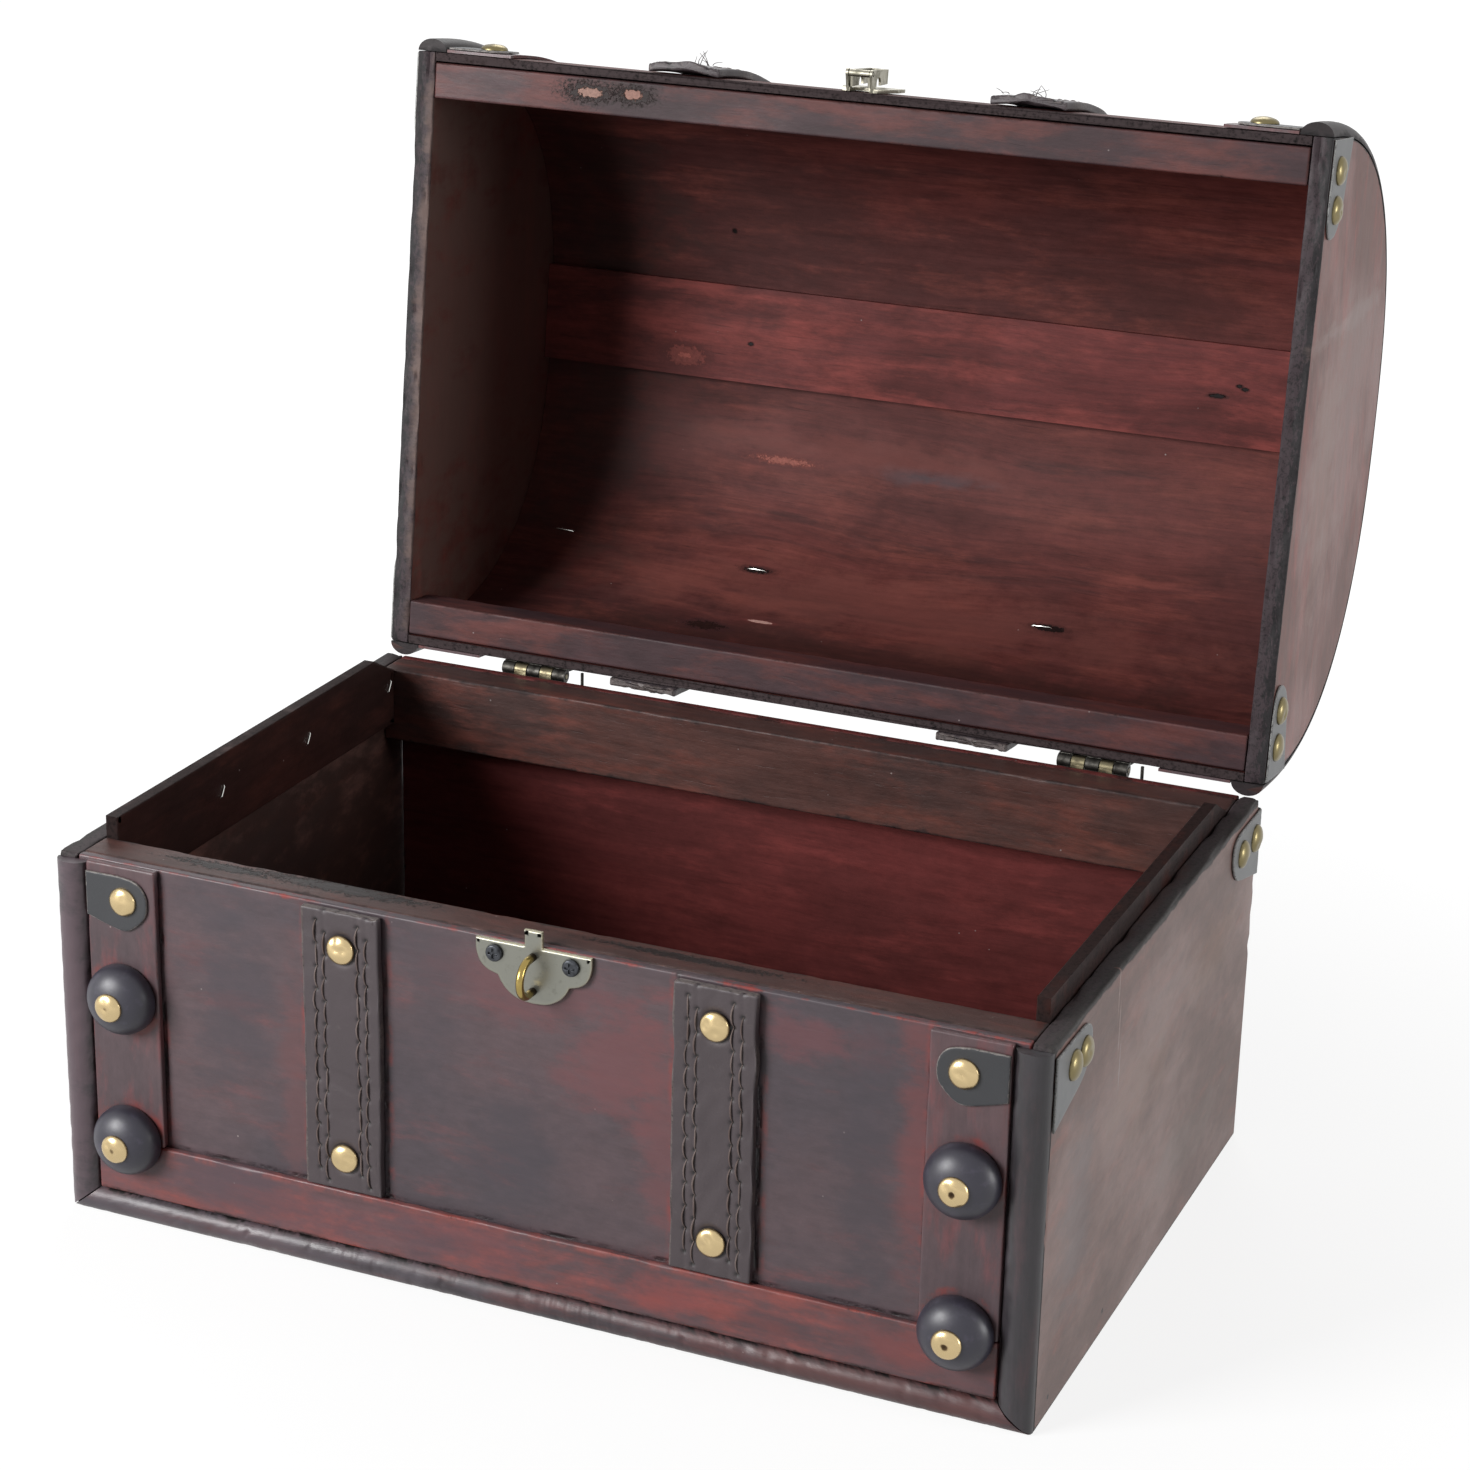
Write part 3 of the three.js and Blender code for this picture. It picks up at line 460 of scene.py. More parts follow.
def new_material(name, **sockets):
    """A material with its shader; constants are set on the shader's own sockets."""
    material = bpy.data.materials.new(name)
    material.use_nodes = True
    tree = material.node_tree
    shader = tree.nodes["Principled BSDF"]
    for label, value in sockets.items():
        shader.inputs[label.replace("_", " ")].default_value = value
    return material, tree, shader


def bumped(tree, shader, height, distance):
    """Feeds a height to the shader's normal."""
    bump = put(tree, "Bump", {"Height": height, "Distance": distance, "Strength": 1.0})
    tree.links.new(bump.outputs[0], shader.inputs["Normal"])


def place_socket(tree, turn):
    """Object coordinates turned so that the grain runs along X."""
    return put(tree, "Mapping", {"Vector": own_place(tree), "Rotation": turn}).outputs[0]


ALONG_X = (0.0, 0.0, 0.0)
ALONG_Y = (0.0, 0.0, radians(90))
ALONG_Z = (0.0, radians(90), 0.0)
ALONG_LID_DEPTH = (0.0, radians(83), 0.0)


def wood(name, stain, deep, rubbed, worn, turn=ALONG_X, offset=0.0, rub=0.5, clouds=0.8, streaks=0.5,
         wear=0.5, gloss=0.42, bump=0.00012, flecks=0.3, along_piece=False, ply=None, lines=None,
         line_tone=None, seams=None, spots=(), washes=(), **sockets):
    """Stained wood with rubbed patches, worn edges and streaky grain.

    Ply is a second colour of the worn edges, which takes over towards the inner face of a side. Lines and
    seams are distances that draw rubbed lines and dark, dirty joints."""
    material, tree, shader = new_material(name, **sockets)
    object_place = own_place(tree)
    place = put(tree, "UVMap").outputs[0] if along_piece else place_socket(tree, turn)
    grain = use(tree, GRAIN, {"Vector": place, "Offset": offset, "Stain": colour(stain),
                              "Deep Stain": colour(deep), "Rubbed": colour(rubbed), "Rubbed Amount": rub,
                              "Clouds": clouds, "Streaks": streaks, "Flecks": flecks})
    edge = edge_marks(tree)
    worn_tone = colour(worn)
    if ply:
        x = calc(tree, "ABSOLUTE", axis(tree, object_place, 0))
        inner = times(tree, minus(tree, HALF_WIDTH - PLY_DEPTH, x), 55.0)
        bands = plus(tree, inner, noise(tree, object_place, (900, 330, 330), 5, 0.68))
        bands = eased_step(tree, bands, 0.44, 0.58)
        worn_tone = mixed(tree, bands, worn_tone, colour(ply))
    worn_on = use(tree, WORN_EDGE, {"Vector": place, "Color": grain["Color"], "Worn": worn_tone,
                                    "Edge": edge, "Amount": wear, "Size": 90.0})
    tone, height = worn_on["Color"], grain["Height"]
    for centre, size, wash_tone, most in washes:
        wash = use(tree, WASH, {"Vector": object_place, "Centre": centre, "Size": size})["Mask"]
        tone = mixed(tree, times(tree, wash, most), tone, colour(wash_tone))
    if lines:
        line = use(tree, RUBBED_LINE, {"Vector": object_place, "Distance": lines(tree, object_place)})
        tone = mixed(tree, times(tree, line["Mask"], 0.75), tone, colour(line_tone))
    if seams:
        seam = use(tree, RUBBED_LINE, {"Vector": shifted(tree, object_place, 0.37), "Width": 0.0007,
                                       "Distance": seams(tree, object_place)})["Mask"]
        tone = mixed(tree, times(tree, seam, 0.95), tone, SEAM_DIRT)
        height = minus(tree, height, times(tree, seam, 2.0))
    if spots:
        crumbs = plus(tree, times(tree, noise(tree, object_place, (900, 900, 900), 4, 0.7), 1.6), 0.2)
    for centre, size, inside, rim, depth, ragged in spots:
        spot = use(tree, SPOT, {"Vector": object_place, "Centre": centre, "Size": size, "Ragged": ragged})
        tone = mixed(tree, times(tree, spot["Rim"], 0.8), tone, colour(rim))
        tone = mixed(tree, spot["Mask"], tone, shaded(tree, colour(inside), crumbs))
        height = minus(tree, height, times(tree, spot["Mask"], depth))
    tree.links.new(with_grime_and_shade(tree, edge, tone), shader.inputs["Base Color"])
    rough = plus(tree, times(tree, grain["Gloss Change"], 0.12), gloss)
    rough = plus(tree, rough, times(tree, worn_on["Mask"], 0.2))
    tree.links.new(rough, shader.inputs["Roughness"])
    bumped(tree, shader, height, bump)
    return material


# Surfaces worked out on grids

class Shell:
    """Closed surfaces: points, faces, an edge mark to a point and an (along, across) place to a corner."""

    def __init__(self, points, faces, edges, places):
        self.points, self.faces, self.edges, self.places = points, faces, edges, places

    def moved(self, change):
        """The same surfaces with their points changed by a function."""
        return Shell(change(self.points), self.faces, self.edges, self.places)


def enclosed_volume(points, faces):
    """The sum of the volumes of the cones from the origin to each triangle of a surface."""
    total = 0.0
    for face in faces:
        corners = points[face]
        for i in range(1, face.shape[1] - 1):
            total += np.einsum("ij,ij->i", corners[:, 0], np.cross(corners[:, i], corners[:, i + 1])).sum()
    return total / 6


def closed(grid, edges=0.0, filled=False):
    """Joins the rings grid[r, c] into a tube that wraps in c, closed at both ends.

    The ends are fans or, filled, flat triangles. All faces are turned round if the volume inside comes out
    negative."""
    rows, columns = grid.shape[:2]
    edges = np.broadcast_to(edges, (rows, columns))
    run = np.linalg.norm(np.diff(grid.mean(1), axis=0), axis=1)
    along = np.concatenate([[0], np.cumsum(run)])[:, None] + np.zeros((1, columns + 1))
    round_ring = np.linalg.norm(np.diff(np.concatenate([grid, grid[:, :1]], 1), axis=1), axis=2)
    across = np.concatenate([np.zeros((rows, 1)), np.cumsum(round_ring, 1)], 1)
    places = np.stack([along, across], -1)
    index = np.arange(rows * columns).reshape(rows, columns)
    ahead = np.roll(index, -1, axis=1)
    quads = np.stack([index[:-1], ahead[:-1], ahead[1:], index[1:]], -1).reshape(-1, 4)
    quad_places = np.stack([places[:-1, :-1], places[:-1, 1:], places[1:, 1:], places[1:, :-1]], 2)
    quad_places = quad_places.reshape(-1, 4, 2)
    points, marks = grid.reshape(-1, 3), edges.ravel()
    if filled:
        caps = [np.sort(tessellate_polygon([[Vector(p) for p in ring]]), axis=1)
                for ring in (grid[0], grid[-1])]
        fans = np.concatenate([index[0][caps[0]][:, ::-1], index[-1][caps[1]]])
        fan_places = np.concatenate([places[0][caps[0]][:, ::-1], places[-1][caps[1]]])
    else:
        first, last = rows * columns, rows * columns + 1
        points = np.concatenate([points, [grid[0].mean(0), grid[-1].mean(0)]])
        marks = np.concatenate([marks, [edges[0].mean(), edges[-1].mean()]])
        fans = np.concatenate([np.stack([ahead[0], index[0], np.full(columns, first)], -1),
                               np.stack([index[-1], ahead[-1], np.full(columns, last)], -1)])
        fan_places = np.concatenate([np.stack([places[0, 1:], places[0, :-1], places[0, :-1]], 1),
                                     np.stack([places[-1, :-1], places[-1, 1:], places[-1, 1:]], 1)])
    faces, face_places = [quads, fans], [quad_places, fan_places]
    if enclosed_volume(points, faces) < 0:
        faces = [face[:, ::-1] for face in faces]
        face_places = [place[:, ::-1] for place in face_places]
    return Shell(points, faces, marks, face_places)


def new_object(name, data):
    """An object of the scene that shows a mesh, a light or a camera."""
    made = bpy.data.objects.new(name, data)
    bpy.context.scene.collection.objects.link(made)
    return made


def piece(name, shell, material, slot, body, *nodes):
    """Makes a mesh object of a shell that rides on a body and stands for nodes of the frame."""
    mesh = bpy.data.meshes.new(name)
    corners = np.concatenate([face.ravel() for face in shell.faces])
    totals = np.concatenate([np.full(len(face), face.shape[1]) for face in shell.faces])
    mesh.vertices.add(len(shell.points))
    mesh.vertices.foreach_set("co", shell.points.ravel())
    mesh.loops.add(len(corners))
    mesh.loops.foreach_set("vertex_index", corners)
    mesh.polygons.add(len(totals))
    mesh.polygons.foreach_set("loop_start", np.concatenate([[0], np.cumsum(totals)[:-1]]))
    mesh.polygons.foreach_set("use_smooth", np.ones(len(totals), bool))
    mesh.update(calc_edges=True)
    uv = mesh.uv_layers.new(name="UVMap")
    uv.data.foreach_set("uv", np.concatenate([place.reshape(-1, 2) for place in shell.places]).ravel())
    mark = mesh.attributes.new("edge", "FLOAT", "POINT")
    mark.data.foreach_set("value", shell.edges)
    mesh.set_sharp_from_angle(angle=SHARP_ANGLE)
    mesh.materials.append(material)
    made = new_object(name, mesh)
    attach(made, body)
    if nodes:
        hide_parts(*nodes)


def ripple(points, size, seed):
    """Smooth unevenness between about -1 and 1: sine waves of about one size in random directions."""
    draw = np.random.default_rng(seed)
    waves = draw.normal(size=(10, 3)) * 2 * pi / size
    return np.sin(points @ waves.T + draw.uniform(0, 2 * pi, 10)).sum(-1) / 4


def spaced(length, fine, coarse):
    """Places from 0 to length, close together at both ends and at most coarse apart between."""
    gaps = fine * 1.8 ** np.arange(16)
    near = np.cumsum(gaps)[(gaps < coarse) & (np.cumsum(gaps) < length / 3)]
    start = near[-1] if len(near) else 0.0
    count = max(int(np.ceil((length - 2 * start) / coarse)), 1)
    middle = np.linspace(start, length - start, count + 1)
    return np.unique(np.concatenate([[0.0], near, middle, length - near, [length]]).round(7))


ROUND_STEPS = 3


def quarter_round(radius):
    """Offsets and insets over a quarter turn: radius (1 - cos t) and radius (1 - sin t)."""
    turn = np.linspace(0, pi / 2, ROUND_STEPS + 1)
    return radius * (1 - np.cos(turn)), radius * (1 - np.sin(turn))


def rounded_rectangle(width, height, radius, fine, coarse):
    """A rectangle with round corners, as core points and outward normals: core + radius * normal."""
    cores, normals = [], []
    half_w, half_h = width / 2 - radius, height / 2 - radius
    centres = np.array([(half_w, -half_h), (half_w, half_h), (-half_w, half_h), (-half_w, -half_h)])
    for i in range(4):
        turn = pi / 2 * (i - 1) + np.linspace(0, pi / 2, ROUND_STEPS + 1)
        cores.append(np.repeat(centres[i:i + 1], ROUND_STEPS + 1, 0))
        normals.append(np.stack([np.cos(turn), np.sin(turn)], -1))
        run = centres[(i + 1) % 4] - centres[i]
        length = np.hypot(*run)
        inner = spaced(length, fine, coarse)[1:-1] / length
        cores.append(centres[i] + inner[:, None] * run)
        normals.append(np.repeat(normals[-1][-1:], len(inner), 0))
    return np.concatenate(cores), np.concatenate(normals)


def eased_ends(core, normal, radius, middle, length):
    """The places along a bar and its section at each, which is drawn in at both ends by a quarter round."""
    offsets, insets = quarter_round(radius)
    offsets = np.concatenate([offsets, middle, length - offsets[::-1]])
    insets = np.concatenate([insets, np.zeros(len(middle)), insets[::-1]])
    return offsets, core[None] + (radius - insets)[:, None, None] * normal[None]


def edge_mark(points, low, high, reach):
    """1 on a box's edges, falling by exp(-distance / reach) from the second nearest face."""
    gaps = np.minimum(points - low, high - points)
    second = np.sort(np.abs(gaps), axis=-1)[..., 1]
    return np.exp(-second / reach)


def board(low, high, along, reach=0.0016, rough=0.0, seed=1, top_reach=None):
    """A board between two corners: a rounded rectangle carried along one axis and drawn in at both ends.

    Its upper edges are nibbled inwards by up to rough; top_reach marks its whole top face as edge."""
    radius, coarse = EASE, 0.004
    low, high = np.array(low, float), np.array(high, float)
    first, second = (along + 1) % 3, (along + 2) % 3
    size = high - low
    core, normal = rounded_rectangle(size[first], size[second], radius, radius / 2, coarse)
    middle = spaced(size[along] - 2 * radius, radius / 2, coarse)[1:-1] + radius
    offsets, section = eased_ends(core, normal, radius, middle, size[along])
    grid = np.zeros(section.shape[:2] + (3,))
    grid[..., along] = low[along] + offsets[:, None]
    grid[..., first] = (low[first] + high[first]) / 2 + section[..., 0]
    grid[..., second] = (low[second] + high[second]) / 2 + section[..., 1]
    marks = edge_mark(grid, low, high, reach)
    if top_reach:
        marks = np.maximum(marks, np.exp((grid[..., 2] - high[2]) / top_reach))
    if rough:
        nibble = np.clip(ripple(grid, 0.011, seed) + 0.6 * ripple(grid, 0.004, seed + 1), 0, 1)
        inward = (low + high) / 2 - grid
        inward /= np.maximum(np.abs(inward), radius)
        inward[..., along] = 0
        close = np.exp(-np.sort(np.abs(np.minimum(grid - low, high - grid)), axis=-1)[..., 1] / 0.0009)
        close = close * (grid[..., 2] > (low[2] + high[2]) / 2)
        grid = grid + inward * (rough * nibble * close)[..., None]
    return closed(grid, marks)


def spline(points, steps):
    """A smooth curve through points: each stretch is a Catmull-Rom cubic of its four neighbours."""
    before = np.concatenate([points[:1], points[:-2]])
    start, end = points[:-1], points[1:]
    after = np.concatenate([points[2:], points[-1:]])
    t = (np.arange(steps) / steps)[None, :, None]
    a, b, c, d = before[:, None], start[:, None], end[:, None], after[:, None]
    slope_in, slope_out = (c - a) / 2, (d - b) / 2
    cubed, squared = 2 * b - 2 * c + slope_in + slope_out, 3 * c - 3 * b - 2 * slope_in - slope_out
    curve = cubed * t ** 3 + squared * t ** 2 + slope_in * t + b
    return np.concatenate([curve.reshape(-1, 2), points[-1:]])


def even_outline(points, spacing):
    """A closed outline split again at equal spacing, keeping its corners to within a step."""
    loop = np.concatenate([points, points[:1]])
    run = np.concatenate([[0], np.cumsum(np.linalg.norm(np.diff(loop, axis=0), axis=1))])
    along = np.arange(0, run[-1] - spacing / 2, spacing)
    along = np.unique(np.concatenate([along, run[:-1]]).round(7))
    keep = np.concatenate([[True], np.diff(along) > spacing / 8])
    along = along[keep]
    return np.stack([np.interp(along, run, loop[:, k]) for k in (0, 1)], -1)


def outward_normals(outline):
    """The unit normal at each point of a closed outline, square to the line between its neighbours."""
    tangent = np.roll(outline, -1, 0) - np.roll(outline, 1, 0)
    normal = np.stack([tangent[:, 1], -tangent[:, 0]], -1)
    area = (outline[:, 0] * np.roll(outline[:, 1], -1) - np.roll(outline[:, 0], -1) * outline[:, 1]).sum()
    return normal / np.maximum(np.linalg.norm(normal, axis=1, keepdims=True), 1e-9) * np.sign(area)


def plate(outline, thickness, bevel, reach=0.0008, heart=None, margins=(0.0003, 0.0008, 0.0014), walls=2,
          two_faced=False):
    """A plate over an outline, as (across, up, out): a wall, a quarter round and a flat face.

    The face shrinks in rings to its heart or, without one, has a ring at each margin and is flat inside.
    A two-faced plate has the same rounding and rings behind."""
    normal = outward_normals(outline)
    offsets, insets = quarter_round(bevel)
    rounding = np.stack([thickness - offsets[::-1], insets[::-1]], -1)
    if heart is None:
        gaps = bevel + np.array(margins)
        face = outline[None] - gaps[:, None, None] * normal[None]
    else:
        shares = np.array([0.94, 0.85, 0.7, 0.5, 0.25])
        gaps = bevel + (1 - shares) * np.linalg.norm(outline - heart, axis=1).mean()
        start = outline - bevel * normal
        face = np.array(heart) + shares[:, None, None] * (start - heart)
    foot = bevel if two_faced else 0.0
    wall = np.stack([np.linspace(foot, thickness - bevel, walls)[:-1], np.zeros(walls - 1)], -1)
    steps = np.concatenate([wall, rounding])
    if two_faced:
        steps = np.concatenate([np.stack([offsets, insets], -1)[:-1], steps])
    rings = np.concatenate([outline[None] - steps[:, 1, None, None] * normal[None], face])
    heights = np.concatenate([steps[:, 0], np.full(len(face), thickness)])
    gaps = np.concatenate([steps[:, 1], gaps])
    if two_faced:
        rings = np.concatenate([face[::-1], rings])
        heights = np.concatenate([np.zeros(len(face)), heights])
        gaps = np.concatenate([gaps[-len(face):][::-1], gaps])
    grid = np.concatenate([rings, np.broadcast_to(heights[:, None, None], rings.shape[:2] + (1,))], -1)
    marks = np.exp(-gaps / reach)
    if heart is None:
        marks[gaps == gaps.max()] = 0
    return closed(grid, marks[:, None] + np.zeros((1, len(outline))), filled=heart is None)


def turned(profile, count):
    """A profile of (radius, rise) spun about the out axis, as (across, up, out)."""
    turn = np.linspace(0, 2 * pi, count, endpoint=False)
    radius, rise = profile[:, 0][:, None], profile[:, 1][:, None]
    return np.stack([radius * np.cos(turn), radius * np.sin(turn), rise + 0 * turn], -1)


def opened(points):
    """Turns places from the shut lid to the open lid, by OPEN_TURN back about the hinge line."""
    out = np.array(points, float)
    y = out[..., 1] - HINGE_Y
    z = out[..., 2] + RIM_Z - HINGE_Z
    out[..., 1] = HINGE_Y + cos(OPEN_TURN) * y + sin(OPEN_TURN) * z
    out[..., 2] = HINGE_Z - sin(OPEN_TURN) * y + cos(OPEN_TURN) * z
    return out


def dome(turn, outset=0.0):
    """The dome's outline as depth and height: powers of the cosine and sine of a turn from the front."""
    power = 2 / DOME_EXPONENT
    across = -np.sign(np.cos(turn)) * np.abs(np.cos(turn)) ** power
    up = np.maximum(np.sin(turn), 0) ** power
    return (HALF_DEPTH + outset) * across, (LID_HEIGHT + outset) * up


DOME_TURNS = np.linspace(0, pi, 2001)
DOME_RUN = np.concatenate([[0], np.cumsum(np.hypot(*(np.diff(line) for line in dome(DOME_TURNS))))])
DOME_LENGTH = DOME_RUN[-1]


def dome_turn(run):
    """The turn at a length along the dome from its front rim."""
    return np.interp(run, DOME_RUN, DOME_TURNS)


def turn_at(depth, inset=0.0):
    """The turn at which the dome's outline reaches a depth."""
    share = np.minimum(np.abs(depth) / (HALF_DEPTH - inset), 1) ** (DOME_EXPONENT / 2)
    return np.arccos(share) if depth < 0 else pi - np.arccos(share)


def on_face(x, y, z):
    """A change from (across, up, out) to a front face, with its middle at a place."""
    return lambda p: np.stack([x + p[..., 0], y - p[..., 2], z + p[..., 1]], -1)


def on_dome(x, outset):
    """A change from (across, along, out) to the open lid's dome, along from its front rim.

    Past either rim it runs straight down."""
    def change(p):
        turn = dome_turn(p[..., 1])
        y, z = dome(turn, outset + p[..., 2])
        over = np.clip(p[..., 1], None, 0) - np.clip(p[..., 1] - DOME_LENGTH, 0, None)
        return opened(np.stack([x + p[..., 0], y, z + over], -1))
    return change


def on_side(side, sign, root, top, lift=1.0):
    """A change from (reach, rise, out) to a side face.

    Reach runs along sign Y from root. Rise is added to top or, where lift is -1, taken from it."""
    return lambda p: np.stack([side * (HALF_WIDTH + SEAT + p[..., 2]), root + sign * p[..., 0],
                               top + lift * p[..., 1]], -1)


def joined(shells):
    """Several shells as one."""
    steps = np.cumsum([0] + [len(shell.points) for shell in shells])
    return Shell(np.concatenate([shell.points for shell in shells]),
                 [face + step for shell, step in zip(shells, steps) for face in shell.faces],
                 np.concatenate([shell.edges for shell in shells]),
                 [place for shell in shells for place in shell.places])


def flipped(shell):
    """The same surface with its faces turned round, for a change that mirrors."""
    return Shell(shell.points, [face[:, ::-1] for face in shell.faces], shell.edges,
                 [place[:, ::-1] for place in shell.places])


def faced(shell, mirrored):
    """A shell, with its faces turned round if its change mirrored it."""
    return flipped(shell) if mirrored else shell


def eased_copy(node, name, width, material, body):
    """A copy of a node's solid, its loose triangles merged and its flat faces joined, with eased edges."""
    mesh = frame["nodes"][node].data.copy()
    form = bmesh.new()
    form.from_mesh(mesh)
    bmesh.ops.remove_doubles(form, verts=form.verts, dist=1e-6)
    bmesh.ops.dissolve_limit(form, angle_limit=radians(1), verts=form.verts, edges=form.edges)
    form.to_mesh(mesh)
    form.free()
    mesh.materials.clear()
    mesh.materials.append(material)
    mesh.polygons.foreach_set("use_smooth", np.ones(len(mesh.polygons), bool))
    mesh.set_sharp_from_angle(angle=SHARP_ANGLE)
    made = new_object(name, mesh)
    ease = made.modifiers.new("eased edges", "BEVEL")
    ease.width = width
    ease.segments = 2
    ease.limit_method = "ANGLE"
    ease.angle_limit = SHARP_ANGLE
    ease.harden_normals = True
    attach(made, body)
    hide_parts(node)


# Finishes

def leather_finish(name, leather, scuffed, cut_edge):
    """Leather whose cut edge is paler than its face."""
    material, tree, shader = new_material(name, Roughness=0.5)
    place, edge = own_place(tree), edge_marks(tree)
    hide = use(tree, HIDE, {"Vector": place, "Leather": colour(leather), "Scuffed": colour(scuffed)})
    worn = use(tree, WORN_EDGE, {"Vector": place, "Color": hide["Color"], "Worn": colour(cut_edge),
                                 "Edge": edge, "Amount": 0.62, "Size": 300.0})
    tree.links.new(with_grime_and_shade(tree, edge, worn["Color"]), shader.inputs["Base Color"])
    bumped(tree, shader, hide["Height"], 0.00008)
    return material


def metal_finish(name, bright, dull, amount, rough, edge_wear_and_highlight=None):
    """Metal that dulls in blots; edges stay bright, or take a paler tone of their own that is wear and a
    painted highlight.
    """
    dull_rough = 0.6
    material, tree, shader = new_material(name, Metallic=1.0)
    edge = edge_marks(tree)
    old = use(tree, TARNISH, {"Vector": own_place(tree), "Bright": colour(bright), "Dull": colour(dull),
                              "Amount": minus(tree, amount, times(tree, edge, 0.6))})
    tone = old["Color"]
    if edge_wear_and_highlight:
        share = calc(tree, "POWER", calc(tree, "MAXIMUM", edge, 0.0), 2.0)
        tone = mixed(tree, share, tone, colour(edge_wear_and_highlight))
    tree.links.new(with_grime_and_shade(tree, edge, tone, METAL_GRIME), shader.inputs["Base Color"])
    change = times(tree, old["Mask"], dull_rough - rough)
    tree.links.new(plus(tree, change, rough), shader.inputs["Roughness"])
    bumped(tree, shader, old["Height"], 0.00004)
    return material


def nearest(tree, *distances):
    """The smallest of several distances."""
    least = distances[0]
    for distance in distances[1:]:
        least = calc(tree, "MINIMUM", least, distance)
    return least


def beside_straps(tree, x, gap):
    """How far |x| is from the nearest line that runs a gap outside a strap's borders."""
    across = distance_to(tree, x, STRAP_OFFSET)
    return distance_to(tree, across, STRAP_WIDTH / 2 + gap)


def strap_borders(tree, place):
    """How far a place is from the nearest rubbed line beside a strap or a stile, measured across."""
    x = calc(tree, "ABSOLUTE", axis(tree, place, 0))
    stile = distance_to(tree, x, BAND_INNER - STILE_LINE_GAP)
    return nearest(tree, beside_straps(tree, x, STRAP_LINE_GAP), stile)


def button_borders(tree, place):
    """How far a place on a stile is from the ring round the nearest button."""
    across = minus(tree, calc(tree, "ABSOLUTE", axis(tree, place, 0)), STILE_CENTRE)
    middle = BASE_HEIGHT - sum(BUTTON_DROPS) / 2
    up = distance_to(tree, axis(tree, place, 2), middle)
    up = minus(tree, up, (BUTTON_DROPS[1] - BUTTON_DROPS[0]) / 2)
    away = calc(tree, "SQRT", plus(tree, times(tree, across, across), times(tree, up, up)))
    return distance_to(tree, away, BUTTON_RADIUS + BUTTON_LINE_GAP)


def panel_seams(tree, place):
    """How far a place on the front panel is from the joint with a strap, a stile or the bottom rail."""
    x = calc(tree, "ABSOLUTE", axis(tree, place, 0))
    stile = distance_to(tree, x, BAND_INNER - STILE_SEAM_GAP)
    rail = distance_to(tree, axis(tree, place, 2), STRAP_LOW)
    return nearest(tree, beside_straps(tree, x, 0.0), stile, rail)


def bead_seam(tree, place):
    """How far a place on the bottom rail is from the line of dirt just above the bottom moulding."""
    return distance_to(tree, axis(tree, place, 2), BOTTOM_MOULDING + BEAD_SEAM_RISE)


def rail_top(tree, place):
    """How far a place on the bottom rail is from the rubbed line just below its upper border."""
    return distance_to(tree, axis(tree, place, 2), STRAP_LOW - RAIL_LINE_DROP)


# A spot is a centre, a size, a colour, its rim's colour, a depth and how ragged it is.
# A wash is a centre, a size, a colour and its share; most are stains, and the ones noted below are painted
# shade and painted sheen.
HOLE, SOOT = "120a0a", "241817"
PANEL_WASHES = [
    ((-0.1070, FACE_Y, 0.0880), (0.016, 0.05, 0.036), "453f46", 0.65),
    ((-0.0835, FACE_Y, 0.0600), (0.006, 0.05, 0.050), "6e4748", 0.5),
    ((0.0000, FACE_Y, 0.1120), (0.035, 0.05, 0.012), "70474b", 0.6),
    ((0.0300, FACE_Y, 0.0930), (0.020, 0.05, 0.018), "77484b", 0.65),
    ((0.0450, FACE_Y, 0.0720), (0.008, 0.05, 0.038), "7a484a", 0.5),
    ((-0.0060, FACE_Y, 0.0560), (0.016, 0.05, 0.024), "433d44", 0.65),
    ((-0.0340, FACE_Y, 0.1080), (0.013, 0.05, 0.022), "453e45", 0.5),
    ((0.0960, FACE_Y, 0.1150), (0.020, 0.05, 0.008), "78464a", 0.5),
    ((0.1285, FACE_Y, 0.0880), (0.006, 0.05, 0.045), "7e4646", 0.55),
    ((0.1120, FACE_Y, 0.0750), (0.010, 0.05, 0.045), "423c43", 0.6)]
RAIL_WASHES = [
    ((-0.1000, FACE_Y, 0.0220), (0.036, 0.05, 0.014), "54434b", 0.65),
    ((-0.0300, FACE_Y, 0.0200), (0.030, 0.05, 0.010), "54414a", 0.5),
    ((0.0480, FACE_Y, 0.0185), (0.020, 0.05, 0.006), "924845", 0.6),
    ((0.1270, FACE_Y, 0.0196), (0.020, 0.05, 0.006), "8c4745", 0.5),
    ((0.0880, FACE_Y, 0.0166), (0.014, 0.05, 0.005), "4c393e", 0.5),
    ((-0.1480, FACE_Y, 0.0200), (0.016, 0.05, 0.012), "604a50", 0.6),
    ((0.1500, FACE_Y, 0.0200), (0.014, 0.05, 0.012), "664a4d", 0.6)]
SLAT_SPOTS = [
    ((-0.1018, 0.2292, 0.2248), (0.0085, 0.004, 0.0042), "7a3f3a", "582c2a", 0.3, 0.9),
    ((-0.1018, 0.2292, 0.2248), (0.0030, 0.004, 0.0012), "a0584f", "7c403a", 0.3, 1.1),
    ((0.1123, 0.2305, 0.2347), (0.0034, 0.002, 0.0008), HOLE, "3a1c1b", 3.0, 0.6),
    ((0.1205, 0.2310, 0.2392), (0.0012, 0.002, 0.0007), HOLE, "3a1c1b", 3.0, 0.6),
    ((0.1226, 0.2310, 0.2382), (0.0014, 0.002, 0.0007), HOLE, "3a1c1b", 3.0, 0.6),
    ((-0.0743, 0.2302, 0.2323), (0.0012, 0.002, 0.0007), HOLE, "421f1e", 2.0, 0.6)]
